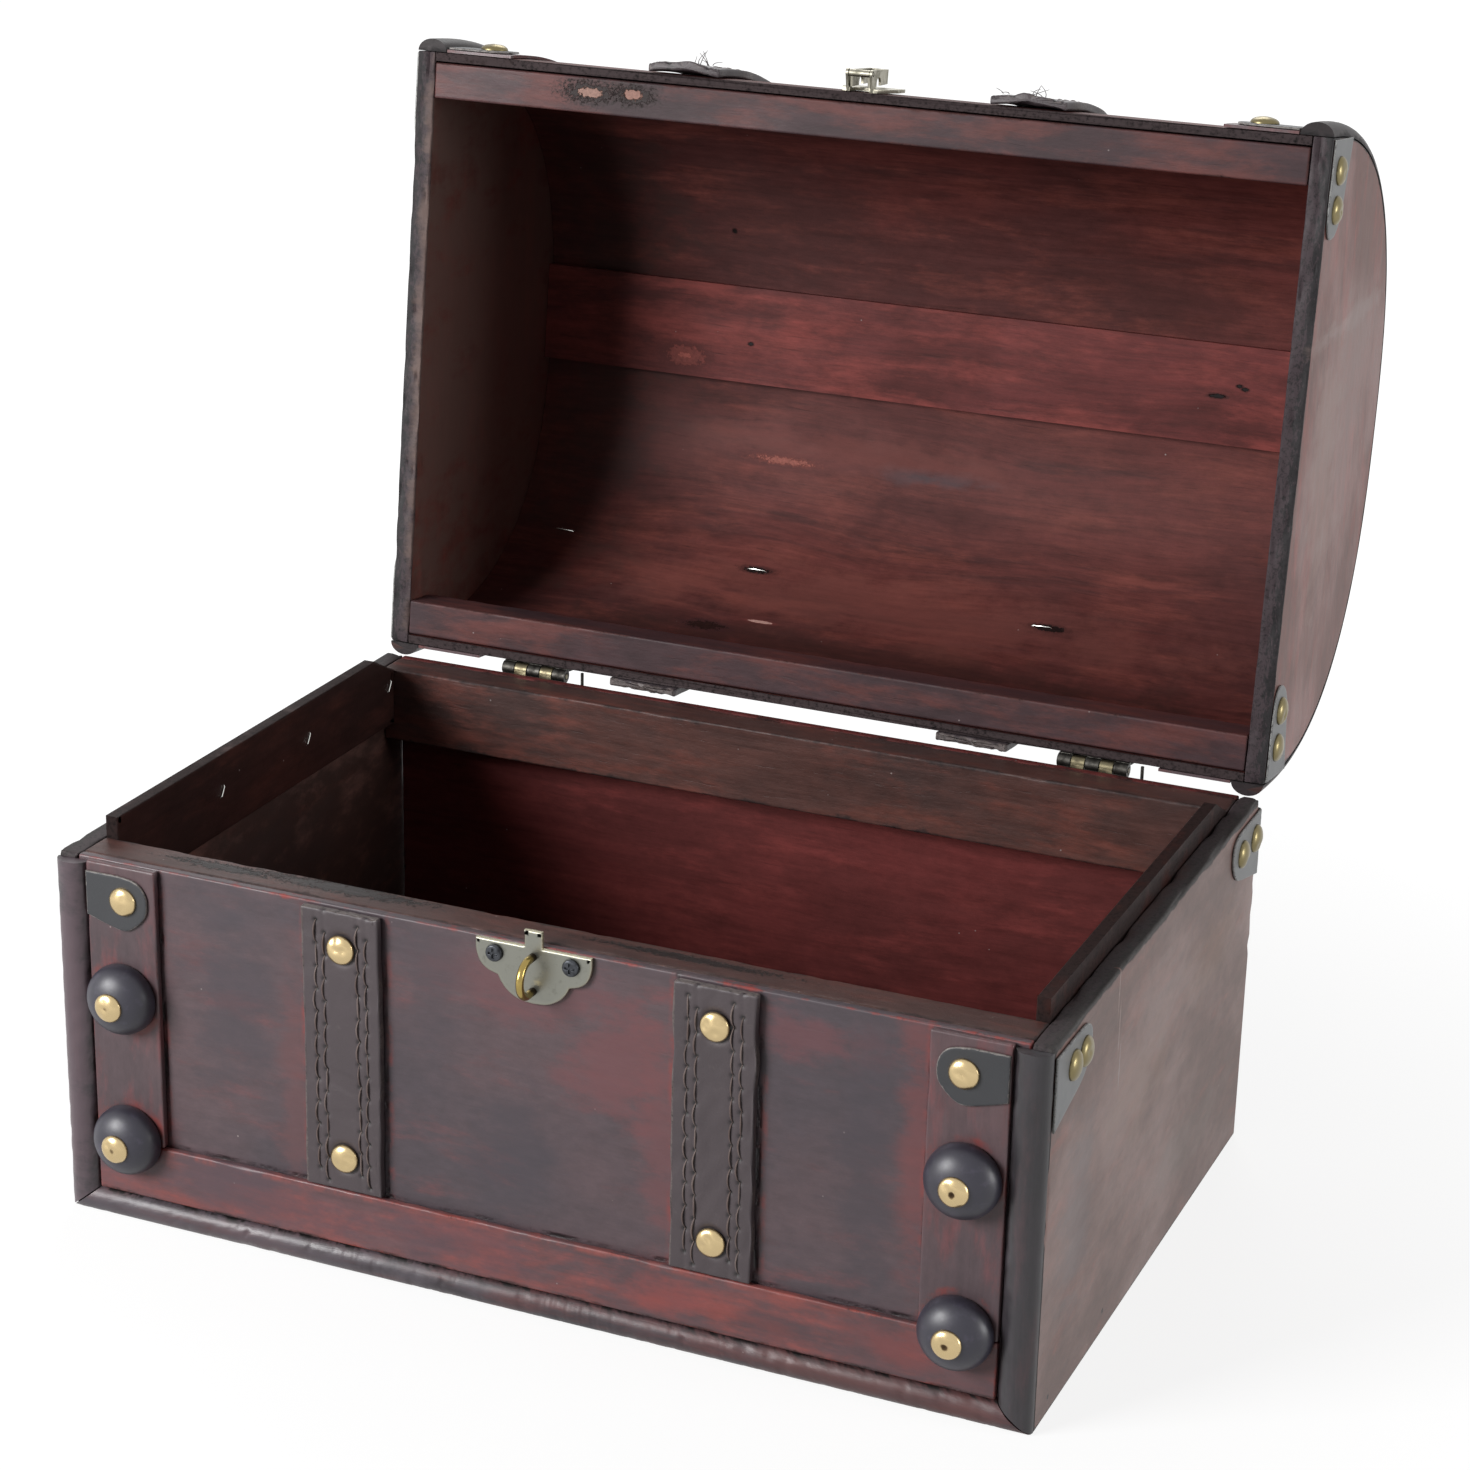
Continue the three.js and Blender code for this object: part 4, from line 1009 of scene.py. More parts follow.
RAIL_CHIPS = [
    ((-0.1002, 0.1386, 0.3417), (0.0095, 0.006, 0.0034), SOOT, SOOT, 1.0, 1.6),
    ((-0.0829, 0.1387, 0.3422), (0.0075, 0.006, 0.0034), SOOT, SOOT, 1.0, 1.6),
    ((-0.1002, 0.1386, 0.3415), (0.0052, 0.004, 0.0018), "a07c70", SOOT, 2.0, 1.0),
    ((-0.0835, 0.1387, 0.3422), (0.0040, 0.004, 0.0020), "9c7468", SOOT, 2.0, 1.0)]
DOME_SPOTS_AND_SHADOWS = [
    ((-0.0839, 0.2345, 0.2749), (0.0009, 0.003, 0.0009), HOLE, "2a1716", 2.0, 0.5),
    # Dark smears under two staples: partly dirt, partly the staples' painted shadow.
    ((-0.0567, 0.1997, 0.1516), (0.0062, 0.003, 0.0010), "1a0f0e", "4a2a28", 1.0, 0.8),
    ((0.0640, 0.1947, 0.1479), (0.0066, 0.003, 0.0010), "1a0f0e", "4a2a28", 1.0, 0.8),
    ((-0.0653, 0.1701, 0.1368), (0.0080, 0.004, 0.0010), "2a1917", "44292a", 0.5, 1.4),
    ((-0.0454, 0.1769, 0.1390), (0.0056, 0.003, 0.0003), "c49a90", "6c3a37", 0.5, 0.3),
    ((-0.0565, 0.2258, 0.1887), (0.0110, 0.004, 0.0012), "96594f", "733f39", 0.3, 1.9)]
DOME_STAIN_AND_SHADE = [
    ((0.0000, 0.1660, 0.1360), (0.150, 0.012, 0.008), "2e2321", 0.55),
    ((0.0020, 0.2261, 0.1895), (0.020, 0.010, 0.003), "4c474d", 0.6),
    ((-0.0600, 0.2350, 0.2850), (0.060, 0.020, 0.030), "432b2a", 0.5),
    ((0.0900, 0.2350, 0.2700), (0.040, 0.020, 0.020), "432826", 0.5),
    ((-0.0300, 0.2280, 0.1950), (0.060, 0.020, 0.006), "78433d", 0.5),
    ((0.0000, 0.1900, 0.1480), (0.130, 0.020, 0.012), "774640", 0.5),
    # A dark wash over the left end inside the dome: painted shade where the lid's left side keeps the light
    # off.
    ((-0.1350, 0.2000, 0.2400), (0.030, 0.080, 0.100), "40312f", 0.6)]
RIM_CRUMBS = [
    ((-0.0743, -0.0975, 0.1280), (0.0300, 0.0036, 0.0040), "1a1110", "3c2a27", 4.0, 1.6),
    ((-0.1150, -0.0990, 0.1280), (0.0180, 0.0024, 0.0040), "1a1110", "3c2a27", 3.0, 1.7),
    ((0.0480, -0.0985, 0.1280), (0.0300, 0.0018, 0.0040), "1d1413", "3c2a27", 2.0, 1.8)]
SIDE_MARKS = [
    ((0.170, -0.0971, 0.1063), (0.002, 0.0007, 0.0007), HOLE, "4a3a36", 2.0, 0.5),
    ((0.170, -0.0441, 0.0079), (0.002, 0.0008, 0.0008), HOLE, "4a3a36", 2.0, 0.5),
    ((0.170, -0.0976, 0.0058), (0.002, 0.0008, 0.0008), HOLE, "4a3a36", 2.0, 0.5),
    ((0.170, -0.0474, 0.1210), (0.002, 0.0005, 0.0090), "8f7c77", "755952", 0.0, 0.3),
    ((0.170, -0.0450, 0.1070), (0.002, 0.0005, 0.0100), "8f7c77", "755952", 0.0, 0.3),
    ((0.170, -0.0425, 0.0930), (0.002, 0.0005, 0.0090), "8f7c77", "755952", 0.0, 0.3)]
SIDE_STAIN_AND_SHADE = [
    ((0.170, -0.0200, 0.0750), (0.050, 0.030, 0.016), "84675a", 0.55),
    ((0.170, -0.0800, 0.0600), (0.050, 0.016, 0.034), "5f5456", 0.55),
    ((0.170, 0.0500, 0.0300), (0.050, 0.040, 0.012), "6b5b55", 0.5),
    ((0.170, 0.0600, 0.0900), (0.050, 0.030, 0.014), "80604f", 0.4),
    ((-0.170, 0.0100, 0.0700), (0.050, 0.040, 0.020), "5f5456", 0.5),
    # The inner faces of the sides take a darker colour; the left one is darker still, painted shade on the
    # wall that faces away from the light.
    ((-0.163, 0.0000, 0.0600), (0.0035, 0.150, 0.080), "2c211e", 0.8),
    ((0.163, 0.0000, 0.0600), (0.0035, 0.150, 0.080), "3c2724", 0.8)]
BEAD_STAIN_AND_SHEEN = [
    # A pale bluish wash on the left of the bottom bead: painted sheen; the redder right end is stain.
    ((-0.1000, -0.1250, 0.0080), (0.080, 0.030, 0.030), "5c555c", 0.6),
    ((0.1200, -0.1250, 0.0080), (0.050, 0.030, 0.030), "5e3c3a", 0.6)]
CORNER_SHEEN = [
    # A pale wash on the left corner bead: painted reflection on its flank.
    ((-0.1640, -0.1140, 0.0700), (0.010, 0.030, 0.080), "65535a", 0.7)]
LID_SIDE_WASHES = [
    ((0.170, 0.1800, 0.2800), (0.004, 0.050, 0.0040), "9c8680", 0.45),
    ((0.170, 0.1650, 0.2300), (0.050, 0.020, 0.050), "8a6a60", 0.5),
    ((0.170, 0.2000, 0.2900), (0.050, 0.020, 0.050), "705049", 0.5),
    ((-0.163, 0.1900, 0.2400), (0.0035, 0.120, 0.150), "75615a", 0.8)]

FRONT_WOOD = wood("front panel wood", "5b4a4e", "443d43", "72484a", "8f3d38", rub=0.46, wear=0.45,
                  streaks=0.22, lines=strap_borders, line_tone="8a4340", seams=panel_seams,
                  washes=PANEL_WASHES)
STILE_WOOD = wood("stile wood", "644d50", "4c4044", "7c484a", "6a3c3b", ALONG_Z, 1.3, wear=0.5,
                  streaks=0.3, lines=button_borders, line_tone="8a3a34")
RAIL_FRONT_WOOD = wood("bottom rail wood", "68494c", "4c3d41", "8a4a46", "8f4038", offset=2.1, rub=0.56,
                       streaks=0.35, lines=rail_top, line_tone="96504a", seams=bead_seam,
                       washes=RAIL_WASHES)
SIDE_WOOD = wood("side panel wood", "7c5a52", "624e49", "8a584e", "332f2e", ALONG_Y, 3.7, rub=0.45,
                 streaks=0.25, wear=1.2, ply="3d3436", spots=SIDE_MARKS, washes=SIDE_STAIN_AND_SHADE,
                 Specular_IOR_Level=0.4)
INSIDE_WOOD = wood("inside wood", "6e3433", "4a2625", "7a3a38", "3a2523", offset=4.9, rub=0.5, clouds=0.5,
                   gloss=0.55, Specular_IOR_Level=0.12)
RAIL_WOOD = wood("rim rail wood", "5a3d38", "40302e", "70423a", "332524", offset=5.5, rub=0.5, streaks=0.7,
                 flecks=0.6, bump=0.00025, Specular_IOR_Level=0.3, spots=RIM_CRUMBS)
LIP_WOOD = wood("guide lip wood", "3a2522", "281a18", "462a25", "2c2120", ALONG_Y, 6.1,
                Specular_IOR_Level=0.12)
LID_INSIDE_WOOD = wood("dome inside wood", "633532", "3e2828", "733f39", "463c3d", offset=7.7, rub=0.52,
                       clouds=0.6, streaks=0.8, gloss=0.55, wear=0.9, Specular_IOR_Level=0.12,
                       spots=DOME_SPOTS_AND_SHADOWS, washes=DOME_STAIN_AND_SHADE)
LID_SIDE_WOOD = wood("lid side wood", "7a473f", "60403a", "8a4840", "242123", ALONG_LID_DEPTH, 8.3,
                     rub=0.5, wear=1.2, ply="42373b", washes=LID_SIDE_WASHES, Specular_IOR_Level=0.32)
SLAT_WOOD = wood("ridge slat wood", "683231", "422422", "82403c", "4a2927", offset=9.1, rub=0.58,
                 clouds=0.6, streaks=0.8, gloss=0.55, Specular_IOR_Level=0.15, spots=SLAT_SPOTS)
LID_RAIL_WOOD = wood("lid rail wood", "523c3f", "3c2e31", "6a403d", "543634", offset=10.3, rub=0.55,
                     streaks=0.5, Specular_IOR_Level=0.2, spots=RAIL_CHIPS)
BASE_MOULDING_WOOD = wood("base moulding wood", "45393e", "302b30", "5c3a3b", "6a3c39", along_piece=True,
                          offset=11.2, rub=0.6, wear=0.35, gloss=0.42, washes=BEAD_STAIN_AND_SHEEN)
CORNER_BEAD_WOOD = wood("corner bead wood", "3a363a", "2b292c", "4c3b3e", "58393a", along_piece=True,
                        offset=14.2, rub=0.45, wear=0.3, gloss=0.38, washes=CORNER_SHEEN)
LID_MOULDING_WOOD = wood("dome moulding wood", "393133", "2a2526", "48322f", "242122", along_piece=True,
                         offset=12.9, rub=0.45, wear=0.5, Specular_IOR_Level=0.2)
STRAP_LEATHER = leather_finish("strap leather", "483f42", "6a6060", "625856")
CORNER_LEATHER = leather_finish("corner leather", "353639", "4e5052", "8c8682")
SIDE_CORNER_LEATHER = leather_finish("side corner leather", "7b7c7d", "929294", "a8a8a6")
TACK_BRASS = metal_finish("tack brass", "c8b287", "5a4833", 0.56, 0.27)
DULL_TACK_BRASS = metal_finish("dull tack brass", "7a7052", "3a3428", 0.52, 0.34)
HASP_METAL = metal_finish("hasp plating", "9c988a", "6c6a5c", 0.45, 0.34)
# Its pale edge tone is partly worn metal and partly a painted highlight on the bevels.
LATCH_METAL = metal_finish("latch plating", "83837b", "5f5e55", 0.35, 0.36, edge_wear_and_highlight="b5b09a")
STAPLE_METAL = metal_finish("staple brass", "a08b52", "33291a", 0.36, 0.22)
SCREW_METAL = metal_finish("screw steel", "4a4c50", "1e1e20", 0.4, 0.35)
STEEL_WIRE = metal_finish("steel wire", "d8d8d4", "8a8884", 0.2, 0.25)
HINGE_METAL = metal_finish("hinge bronze", "6e6752", "35302a", 0.45, 0.36)
DARK_HINGE_METAL = metal_finish("dark hinge steel", "4c4a46", "262422", 0.5, 0.42)


def lacquer_finish():
    """Dark lacquer with pale scuffs, which also change its gloss and its bump."""
    material, tree, shader = new_material("button lacquer", Coat_Weight=0.25, Coat_Roughness=0.34)
    scuff = noise(tree, own_place(tree), (300, 300, 300), 4, 0.6)
    worn = eased_step(tree, scuff, 0.5, 0.8)
    tree.links.new(mixed(tree, times(tree, worn, 0.4), colour("272531"), colour("544f60")),
                   shader.inputs["Base Color"])
    tree.links.new(plus(tree, times(tree, scuff, 0.25), 0.32), shader.inputs["Roughness"])
    bumped(tree, shader, scuff, 0.00005)
    return material


def thread_finish():
    """Browned thread with soft clouds and a twist that runs along it."""
    material, tree, shader = new_material("stitching thread", Roughness=0.7)
    place = put(tree, "UVMap").outputs[0]
    wave = put(tree, "TexWave", {"Vector": place, "Scale": 1400.0}, bands_direction="DIAGONAL")
    twist = wave.outputs["Fac"]
    cloud = noise(tree, own_place(tree), (120, 120, 120), 3)
    tone = mixed(tree, eased_step(tree, cloud, 0.35, 0.65), colour("65544f"), colour("84746f"))
    tree.links.new(mixed(tree, times(tree, twist, 0.3), tone, colour("42383a")),
                   shader.inputs["Base Color"])
    bumped(tree, shader, twist, 0.00008)
    return material


BUTTON_LACQUER = lacquer_finish()
THREAD_FINISH = thread_finish()


# The box

def whole(node):
    """A node's box as two arrays."""
    return [np.array(corner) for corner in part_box(node)]


def build_case():
    """The five panels, the rails along the rim and the guide lips on the sides, with eased edges."""
    for side in ("right", "left"):
        node = side + "_side_panel"
        panel = board(*whole(node), 1, reach=0.0007, rough=0.0009, seed=3, top_reach=0.0016)
        piece(side + "_side_board", panel, SIDE_WOOD, "side_wood", "base", node)
    for name, node, finish, slot in (("front_board", "front_panel", FRONT_WOOD, "panel_wood"),
                                     ("back_board", "back_panel", INSIDE_WOOD, "panel_wood"),
                                     ("floor_board", "bottom_panel", INSIDE_WOOD, "inside_wood")):
        piece(name, board(*whole(node), 0), finish, slot, "base", node)
    for name in ("front", "back"):
        rail = board(*whole(name + "_top_rail"), 0, reach=0.0025, rough=0.0004, seed=7)
        piece(name + "_rim_rail", rail, RAIL_WOOD, "rail_wood", "base", name + "_top_rail")
    for side, sign in (("right", 1), ("left", -1)):
        low, high = whole(side + "_guide_lip")
        slope = 0.014
        outline = np.array([(low[1], low[2]), (high[1], low[2]), (high[1], BASE_HEIGHT),
                            (high[1] - slope, high[2]), (low[1], high[2])])
        lip = plate(even_outline(outline, 0.003), high[0] - low[0], EASE)
        wall = max(abs(low[0]), abs(high[0]))
        lip = lip.moved(lambda p: np.stack([sign * (wall - p[..., 2]), p[..., 0], p[..., 1]], -1))
        piece(side + "_lip", lip, LIP_WOOD, "rail_wood", "base", side + "_guide_lip")


def build_front_frame():
    """The two stiles and the bottom rail on the front panel's face."""
    for side in ("right", "left"):
        stile = board(*whole(side + "_stile"), 2, reach=0.0008, rough=0.0003, seed=11)
        piece(side + "_front_stile", stile, STILE_WOOD, "panel_wood", "base", side + "_stile")
    rail = board(*whole("bottom_rail"), 0, reach=0.0012, rough=0.0004, seed=13)
    piece("front_bottom_rail", rail, RAIL_FRONT_WOOD, "panel_wood", "base", "bottom_rail")


def half_round(width, proud):
    """A half ellipse and its flat back as (across, out), with marks of 1 at its borders and 0 on top."""
    turn = np.linspace(0, pi, 15)
    arc = np.stack([width / 2 - np.cos(turn) * width / 2, np.sin(turn) * proud], -1)
    back = np.stack([np.linspace(width, 0, 5)[1:-1], np.zeros(3)], -1)
    marks = np.concatenate([1 - np.sin(turn), np.ones(3)])
    return np.concatenate([arc, back]), marks


def grimed(marks, across, width, grid, seed):
    """Edge marks of a half round with dirt along its inner border, in a ragged line."""
    near = np.exp(-(width - across) / (0.1 * width)) + 0 * grid[..., 0]
    ragged = np.clip(0.75 + 0.6 * ripple(grid, 0.006, seed) + 0.4 * ripple(grid, 0.002, seed + 1), 0, 1.4)
    return marks - 2.2 * near * ragged


def build_corner_mouldings():
    """Half-round mouldings up the front corners, mitred at their feet and worn in front."""
    section, marks = half_round(MOULDING_WIDTH, MOULDING_PROUD)
    across, out = section[:, 0], section[:, 1]
    foot = across * BOTTOM_MOULDING / MOULDING_WIDTH + SEAT
    top = BASE_HEIGHT - MOULDING_TOP_DROP
    share = np.linspace(0, 1, 60)[:, None]
    height = foot + share * (top - foot)
    for side, sign in (("left", -1), ("right", 1)):
        x = sign * (HALF_WIDTH - across) + 0 * height
        grid = np.stack([x, FACE_Y - out + 0 * height, height], -1)
        worn = 0.00025 * ripple(grid, 0.012, 21 + sign) * (out > 0)
        grid[..., 1] += np.clip(worn, 0, None)
        bead = closed(grid, grimed(marks, across, MOULDING_WIDTH, grid, 23))
        piece(side + "_corner_bead", bead, CORNER_BEAD_WOOD, "moulding_wood", "base",
              side + "_corner_moulding")


def build_bottom_moulding():
    """The half-round moulding along the bottom, mitred at both ends, with nail hollows and fine marks."""
    section, marks = half_round(BOTTOM_MOULDING, MOULDING_PROUD)
    across, out = section[:, 0], section[:, 1]
    end = HALF_WIDTH - across * MOULDING_WIDTH / BOTTOM_MOULDING - SEAT
    x = np.linspace(-1, 1, 560)[:, None] * end
    grid = np.stack([x, FACE_Y - out + 0 * x, across + 0 * x], -1)
    uneven = 0.00022 * ripple(grid, 0.014, 27) + 0.00012 * ripple(grid, 0.004, 28)
    mark_depth, mark_pitch = 0.00002, 0.0026
    uneven += mark_depth * np.sin(grid[..., 0] * 2 * pi / mark_pitch + 2 * ripple(grid, 0.02, 30))
    grid[..., 1] += np.clip(uneven, 0, None) * (out > 0)
    nail_depth, nail_radius = 0.0006, 0.0009
    for nail_x, nail_z in BEAD_NAILS:
        away = np.hypot(x - nail_x, across - nail_z)
        grid[..., 1] += nail_depth * np.exp(-(away / nail_radius) ** 2)
    bead = closed(grid, grimed(marks, across, BOTTOM_MOULDING, grid, 29))
    piece("bottom_bead", bead, BASE_MOULDING_WOOD, "moulding_wood", "base", "bottom_moulding")


# Straps, stitching and tacks

def strap_dents(across, along, flat, seed, tacks):
    """The dents of a strap's face and its painted shade: soft dips, stitch channels, needle holes, tack
    rings.
    """
    hole_radius, channel_width = 0.00068, 0.0007
    dent = 0.00025 * np.clip(ripple(flat, 0.02, seed + 2), 0, 1)
    grime_and_shade = 0 * along
    for i, column in enumerate(STITCH_COLUMNS):
        phase = (along - needle_start(i)) / STITCH_PITCH
        near = ((phase - np.round(phase)) * STITCH_PITCH) ** 2 + (across - column) ** 2
        hole = np.exp(-near / hole_radius ** 2)
        channel = np.exp(-((across - column) / channel_width) ** 2)
        dent = dent + 0.0001 * channel + 0.0007 * hole
        # Each needle hole is darkened: painted shade.
        grime_and_shade = grime_and_shade + 1.7 * hole
    for drop in tacks:
        away = np.hypot(across, along - drop)
        dent = dent + 0.0005 * np.exp(-((away - TACK_RADIUS) / 0.0011) ** 2)
        # A dark line round each tack's rim: painted shade where the tack sits on the strap.
        grime_and_shade = grime_and_shade + 0.9 * np.exp(-((away - TACK_RADIUS) / 0.0004) ** 2)
    return dent, grime_and_shade


def strap_shell(length, seed, tacks=(), tail=0.0, curl=0.0):
    """A leather strap as (across, along, out), with channels and needle holes along its stitch columns.

    It dips round each tack and its ends are nibbled. Its first end curls up, by exp(-along / 8 mm) times a
    bulge across, and its last end runs on by a ragged tail."""
    ease, step = 0.0007, 0.00055
    core, normal = rounded_rectangle(STRAP_WIDTH, STRAP_THICKNESS, ease, 0.0003, 0.0006)
    middle = np.linspace(0.0012, length - 0.0012, int(length / step))
    offsets, section = eased_ends(core, normal, ease, middle, length)
    across = section[..., 0]
    along = offsets[:, None] + 0 * across
    out = section[..., 1] + STRAP_THICKNESS / 2
    top = (normal[:, 1] > 0.9)[None]
    flat = np.stack([across, along, 0 * along], -1)
    side = 0.0003 * ripple(np.stack([along, 0 * along, 0 * along], -1), 0.03, seed)
    across = across + np.where(np.abs(across) > STRAP_WIDTH / 2 - 0.002, side - 0.0003, 0)
    dent, grime_and_shade = strap_dents(across, along, flat, seed, tacks)
    out = np.where(top, out - dent, out)
    border = np.minimum(STRAP_WIDTH / 2 - np.abs(across), np.minimum(along, length - along))
    marks = np.exp(-border / 0.0006)
    uneven = ripple(flat, 0.006, seed + 3) + 0.5 * ripple(flat, 0.002, seed + 4)
    along = along + 0.0003 * np.clip(uneven, 0, 2) * np.exp(-along / 0.002)
    last = np.exp(-(length - along) / 0.0015)
    along = along + last * (tail * (0.55 + 0.3 * across / STRAP_WIDTH * 2 + 0.2 * uneven) - 0.0003)
    if curl:
        curl_reach = 0.008
        bulge = (1 - (2 * across / STRAP_WIDTH) ** 2) * (1 + 0.35 * ripple(flat, 0.012, seed + 5))
        out = out + curl * np.exp(-along / curl_reach) * np.clip(bulge, 0, 1.3)
        frayed = np.exp(-along / 0.0015) * (0.5 + 0.5 * ripple(flat, 0.0016, seed + 9))
        out = np.where(top, out - 0.0012 * frayed * (2 * across / STRAP_WIDTH) ** 2, out)
        grime_and_shade = grime_and_shade + 1.2 * frayed
    return closed(np.stack([across, along, out], -1), np.clip(marks, 0, 1) - grime_and_shade)


def needle_start(column):
    """Where a stitch column's first needle hole is; each pair's second column is half a stitch behind."""
    return FIRST_NEEDLE + (column % 2) * STITCH_PITCH / 2


def stitches(length, seed):
    """Threads as (across, along, out): thin tubes between needle holes, bowed out and to one side."""
    draw = np.random.default_rng(seed)
    made = []
    share = np.linspace(0, 1, 9)[:, None]
    turn = np.linspace(0, 2 * pi, 6, endpoint=False)[None]
    for i, column in enumerate(STITCH_COLUMNS):
        for start in np.arange(needle_start(i), length - STITCH_PITCH, STITCH_PITCH):
            wobble = draw.normal(0, 0.00016, 3)
            bow = draw.choice([-0.0007, -0.0005, -0.0003, 0.0002], p=[0.4, 0.3, 0.2, 0.1])
            thin = THREAD_RADIUS * (0.5 + 0.5 * np.sin(pi * share) ** 0.5) * draw.uniform(0.8, 1.1)
            across = column + wobble[0] + bow * np.sin(pi * share) + wobble[1] * (share - 0.5)
            across = across + thin * np.cos(turn)
            along = start + share * STITCH_PITCH + 0 * turn
            rise = STRAP_THICKNESS - 0.0007 + 0.0009 * np.sin(pi * share) ** 0.45
            made.append(closed(np.stack([across, along, rise + 0.8 * thin * np.sin(turn)], -1)))
    return joined(made)


def tack_head(seed, pit=0.0, depth=0.00035):
    """A tack's low dome as (across, up, out): a quarter ellipse spun round, with four hammer dents.

    The pit on top is a hollow of exp(-(distance / 0.27 radius) squared), and darkens with its depth."""
    radius, height, pit_darkness = TACK_RADIUS, TACK_HEIGHT, 2750
    turn = np.linspace(0, pi / 2, 14)
    profile = np.stack([radius * np.cos(turn), 0.0002 + (height - 0.0002) * np.sin(turn)], -1)
    foot, top = [(radius * 0.9, -0.0004), (radius, 0.0)], [(radius * 0.03, height)]
    profile = np.concatenate([foot, profile[:-1], top])
    grid = turned(profile, 36)
    # The edge mark grows with height: the brass stays bright on top and dulls towards the rim, partly
    # handled polish and partly painted shade for the rim's darker reflection.
    rise = np.clip(grid[..., 2] / height, 0, 1)
    draw = np.random.default_rng(seed)
    for _ in range(4):
        spot = draw.normal(0, radius * 0.42, 2)
        near = (grid[..., 0] - spot[0]) ** 2 + (grid[..., 1] - spot[1]) ** 2
        near = np.exp(-near / (radius * 0.24) ** 2)
        grid[..., 2] -= near * draw.uniform(0.3, 1.0) * depth
        rise = rise - 0.25 * near
    away = np.hypot(grid[..., 0], grid[..., 1])
    hollow = np.exp(-(away / (radius * 0.27)) ** 2)
    grid[..., 2] -= pit * hollow
    rise = rise - pit * pit_darkness * hollow
    return closed(grid, np.clip(rise, -1, 1))


# Each strap's side, its place across and its seed
STRAPS = (("left", -STRAP_OFFSET, 31), ("right", STRAP_OFFSET, 35))


def build_base_straps():
    """The two straps down the front, each with its stitching and two tacks."""
    length = STRAP_HIGH - STRAP_LOW
    for side, x, seed in STRAPS:
        place = on_face(x, FACE_Y, STRAP_HIGH)
        downward = lambda p: place(p * np.array([1, -1, 1]))
        tacks = [STRAP_HIGH - BASE_HEIGHT + drop for drop in STRAP_TACKS]
        strap = flipped(strap_shell(length, seed, tacks).moved(downward))
        piece(side + "_front_strap", strap, STRAP_LEATHER, "strap_leather", "base", side + "_strap")
        threads = flipped(stitches(length, seed).moved(downward))
        piece(side + "_front_stitching", threads, THREAD_FINISH, "strap_leather", "base")
        heads = []
        for i, drop in enumerate(STRAP_TACKS):
            seat = on_face(x, FACE_Y - STRAP_THICKNESS, BASE_HEIGHT - drop)
            heads.append(tack_head(seed + i, depth=0.0006).moved(seat))
        piece(side + "_strap_tacks", joined(heads), TACK_BRASS, "staple_brass", "base")


def build_buttons():
    """Turned buttons, each with a tack head that has a pit on top.

    Above a short rim the profile is radius * cos(t) ** 0.9 out and a rise that grows with sin(t)."""
    turn = np.linspace(0, pi / 2, 14)
    rise = BUTTON_EDGE + (BUTTON_HEIGHT - BUTTON_EDGE) * np.sin(turn)
    dome_profile = np.stack([BUTTON_RADIUS * np.cos(turn) ** 0.9, rise], -1)
    foot = [(BUTTON_RADIUS - EASE, 0.0), (BUTTON_RADIUS - EASE / 3, EASE / 3), (BUTTON_RADIUS, EASE)]
    profile = np.concatenate([foot, dome_profile[:-1], [(0.0003, BUTTON_HEIGHT)]])
    for side, sign, pit in (("left", -1, 0.0003), ("right", 1, 0.0006)):
        for row, drop, seed in (("upper", BUTTON_DROPS[0], 41), ("lower", BUTTON_DROPS[1], 43)):
            x, z = sign * STILE_CENTRE, BASE_HEIGHT - drop
            body = closed(turned(profile, 48)).moved(on_face(x, STILE_FACE_Y, z))
            name = side + "_" + row + "_button"
            piece(side + "_" + row + "_turned_button", body, BUTTON_LACQUER, "button_wood", "base", name)
            head = tack_head(seed + sign, pit).moved(on_face(x, STILE_FACE_Y - BUTTON_HEIGHT + 0.0005, z))
            piece(side + "_" + row + "_button_tack", head, TACK_BRASS, "staple_brass", "base")


# Corner leathers

def leather_sheet(loop, thickness, heart):
    """A thin leather over a closed outline, as (reach, rise, out)."""
    return plate(even_outline(loop, 0.0008), thickness, thickness * 0.6, 0.0005, heart=heart)


def leather_shell(outline, thickness):
    """A thin leather from the corner to a curved outline, as (reach, rise, out)."""
    loop = np.concatenate([[(0.0, 0.0)], spline(outline, 8)])
    return leather_sheet(loop, thickness, (outline[:, 0].max() * 0.45, -0.009))


def tack_row(seed, reaches, thickness, change, mirrored):
    """Tack heads on a corner leather, one at each reach, put in place by the leather's own change."""
    heads = []
    for i, reach in enumerate(reaches):
        seat = np.array([reach, -TACK_DROP, thickness])
        heads.append(faced(tack_head(seed + i).moved(lambda p: change(p + seat)), mirrored))
    return joined(heads)


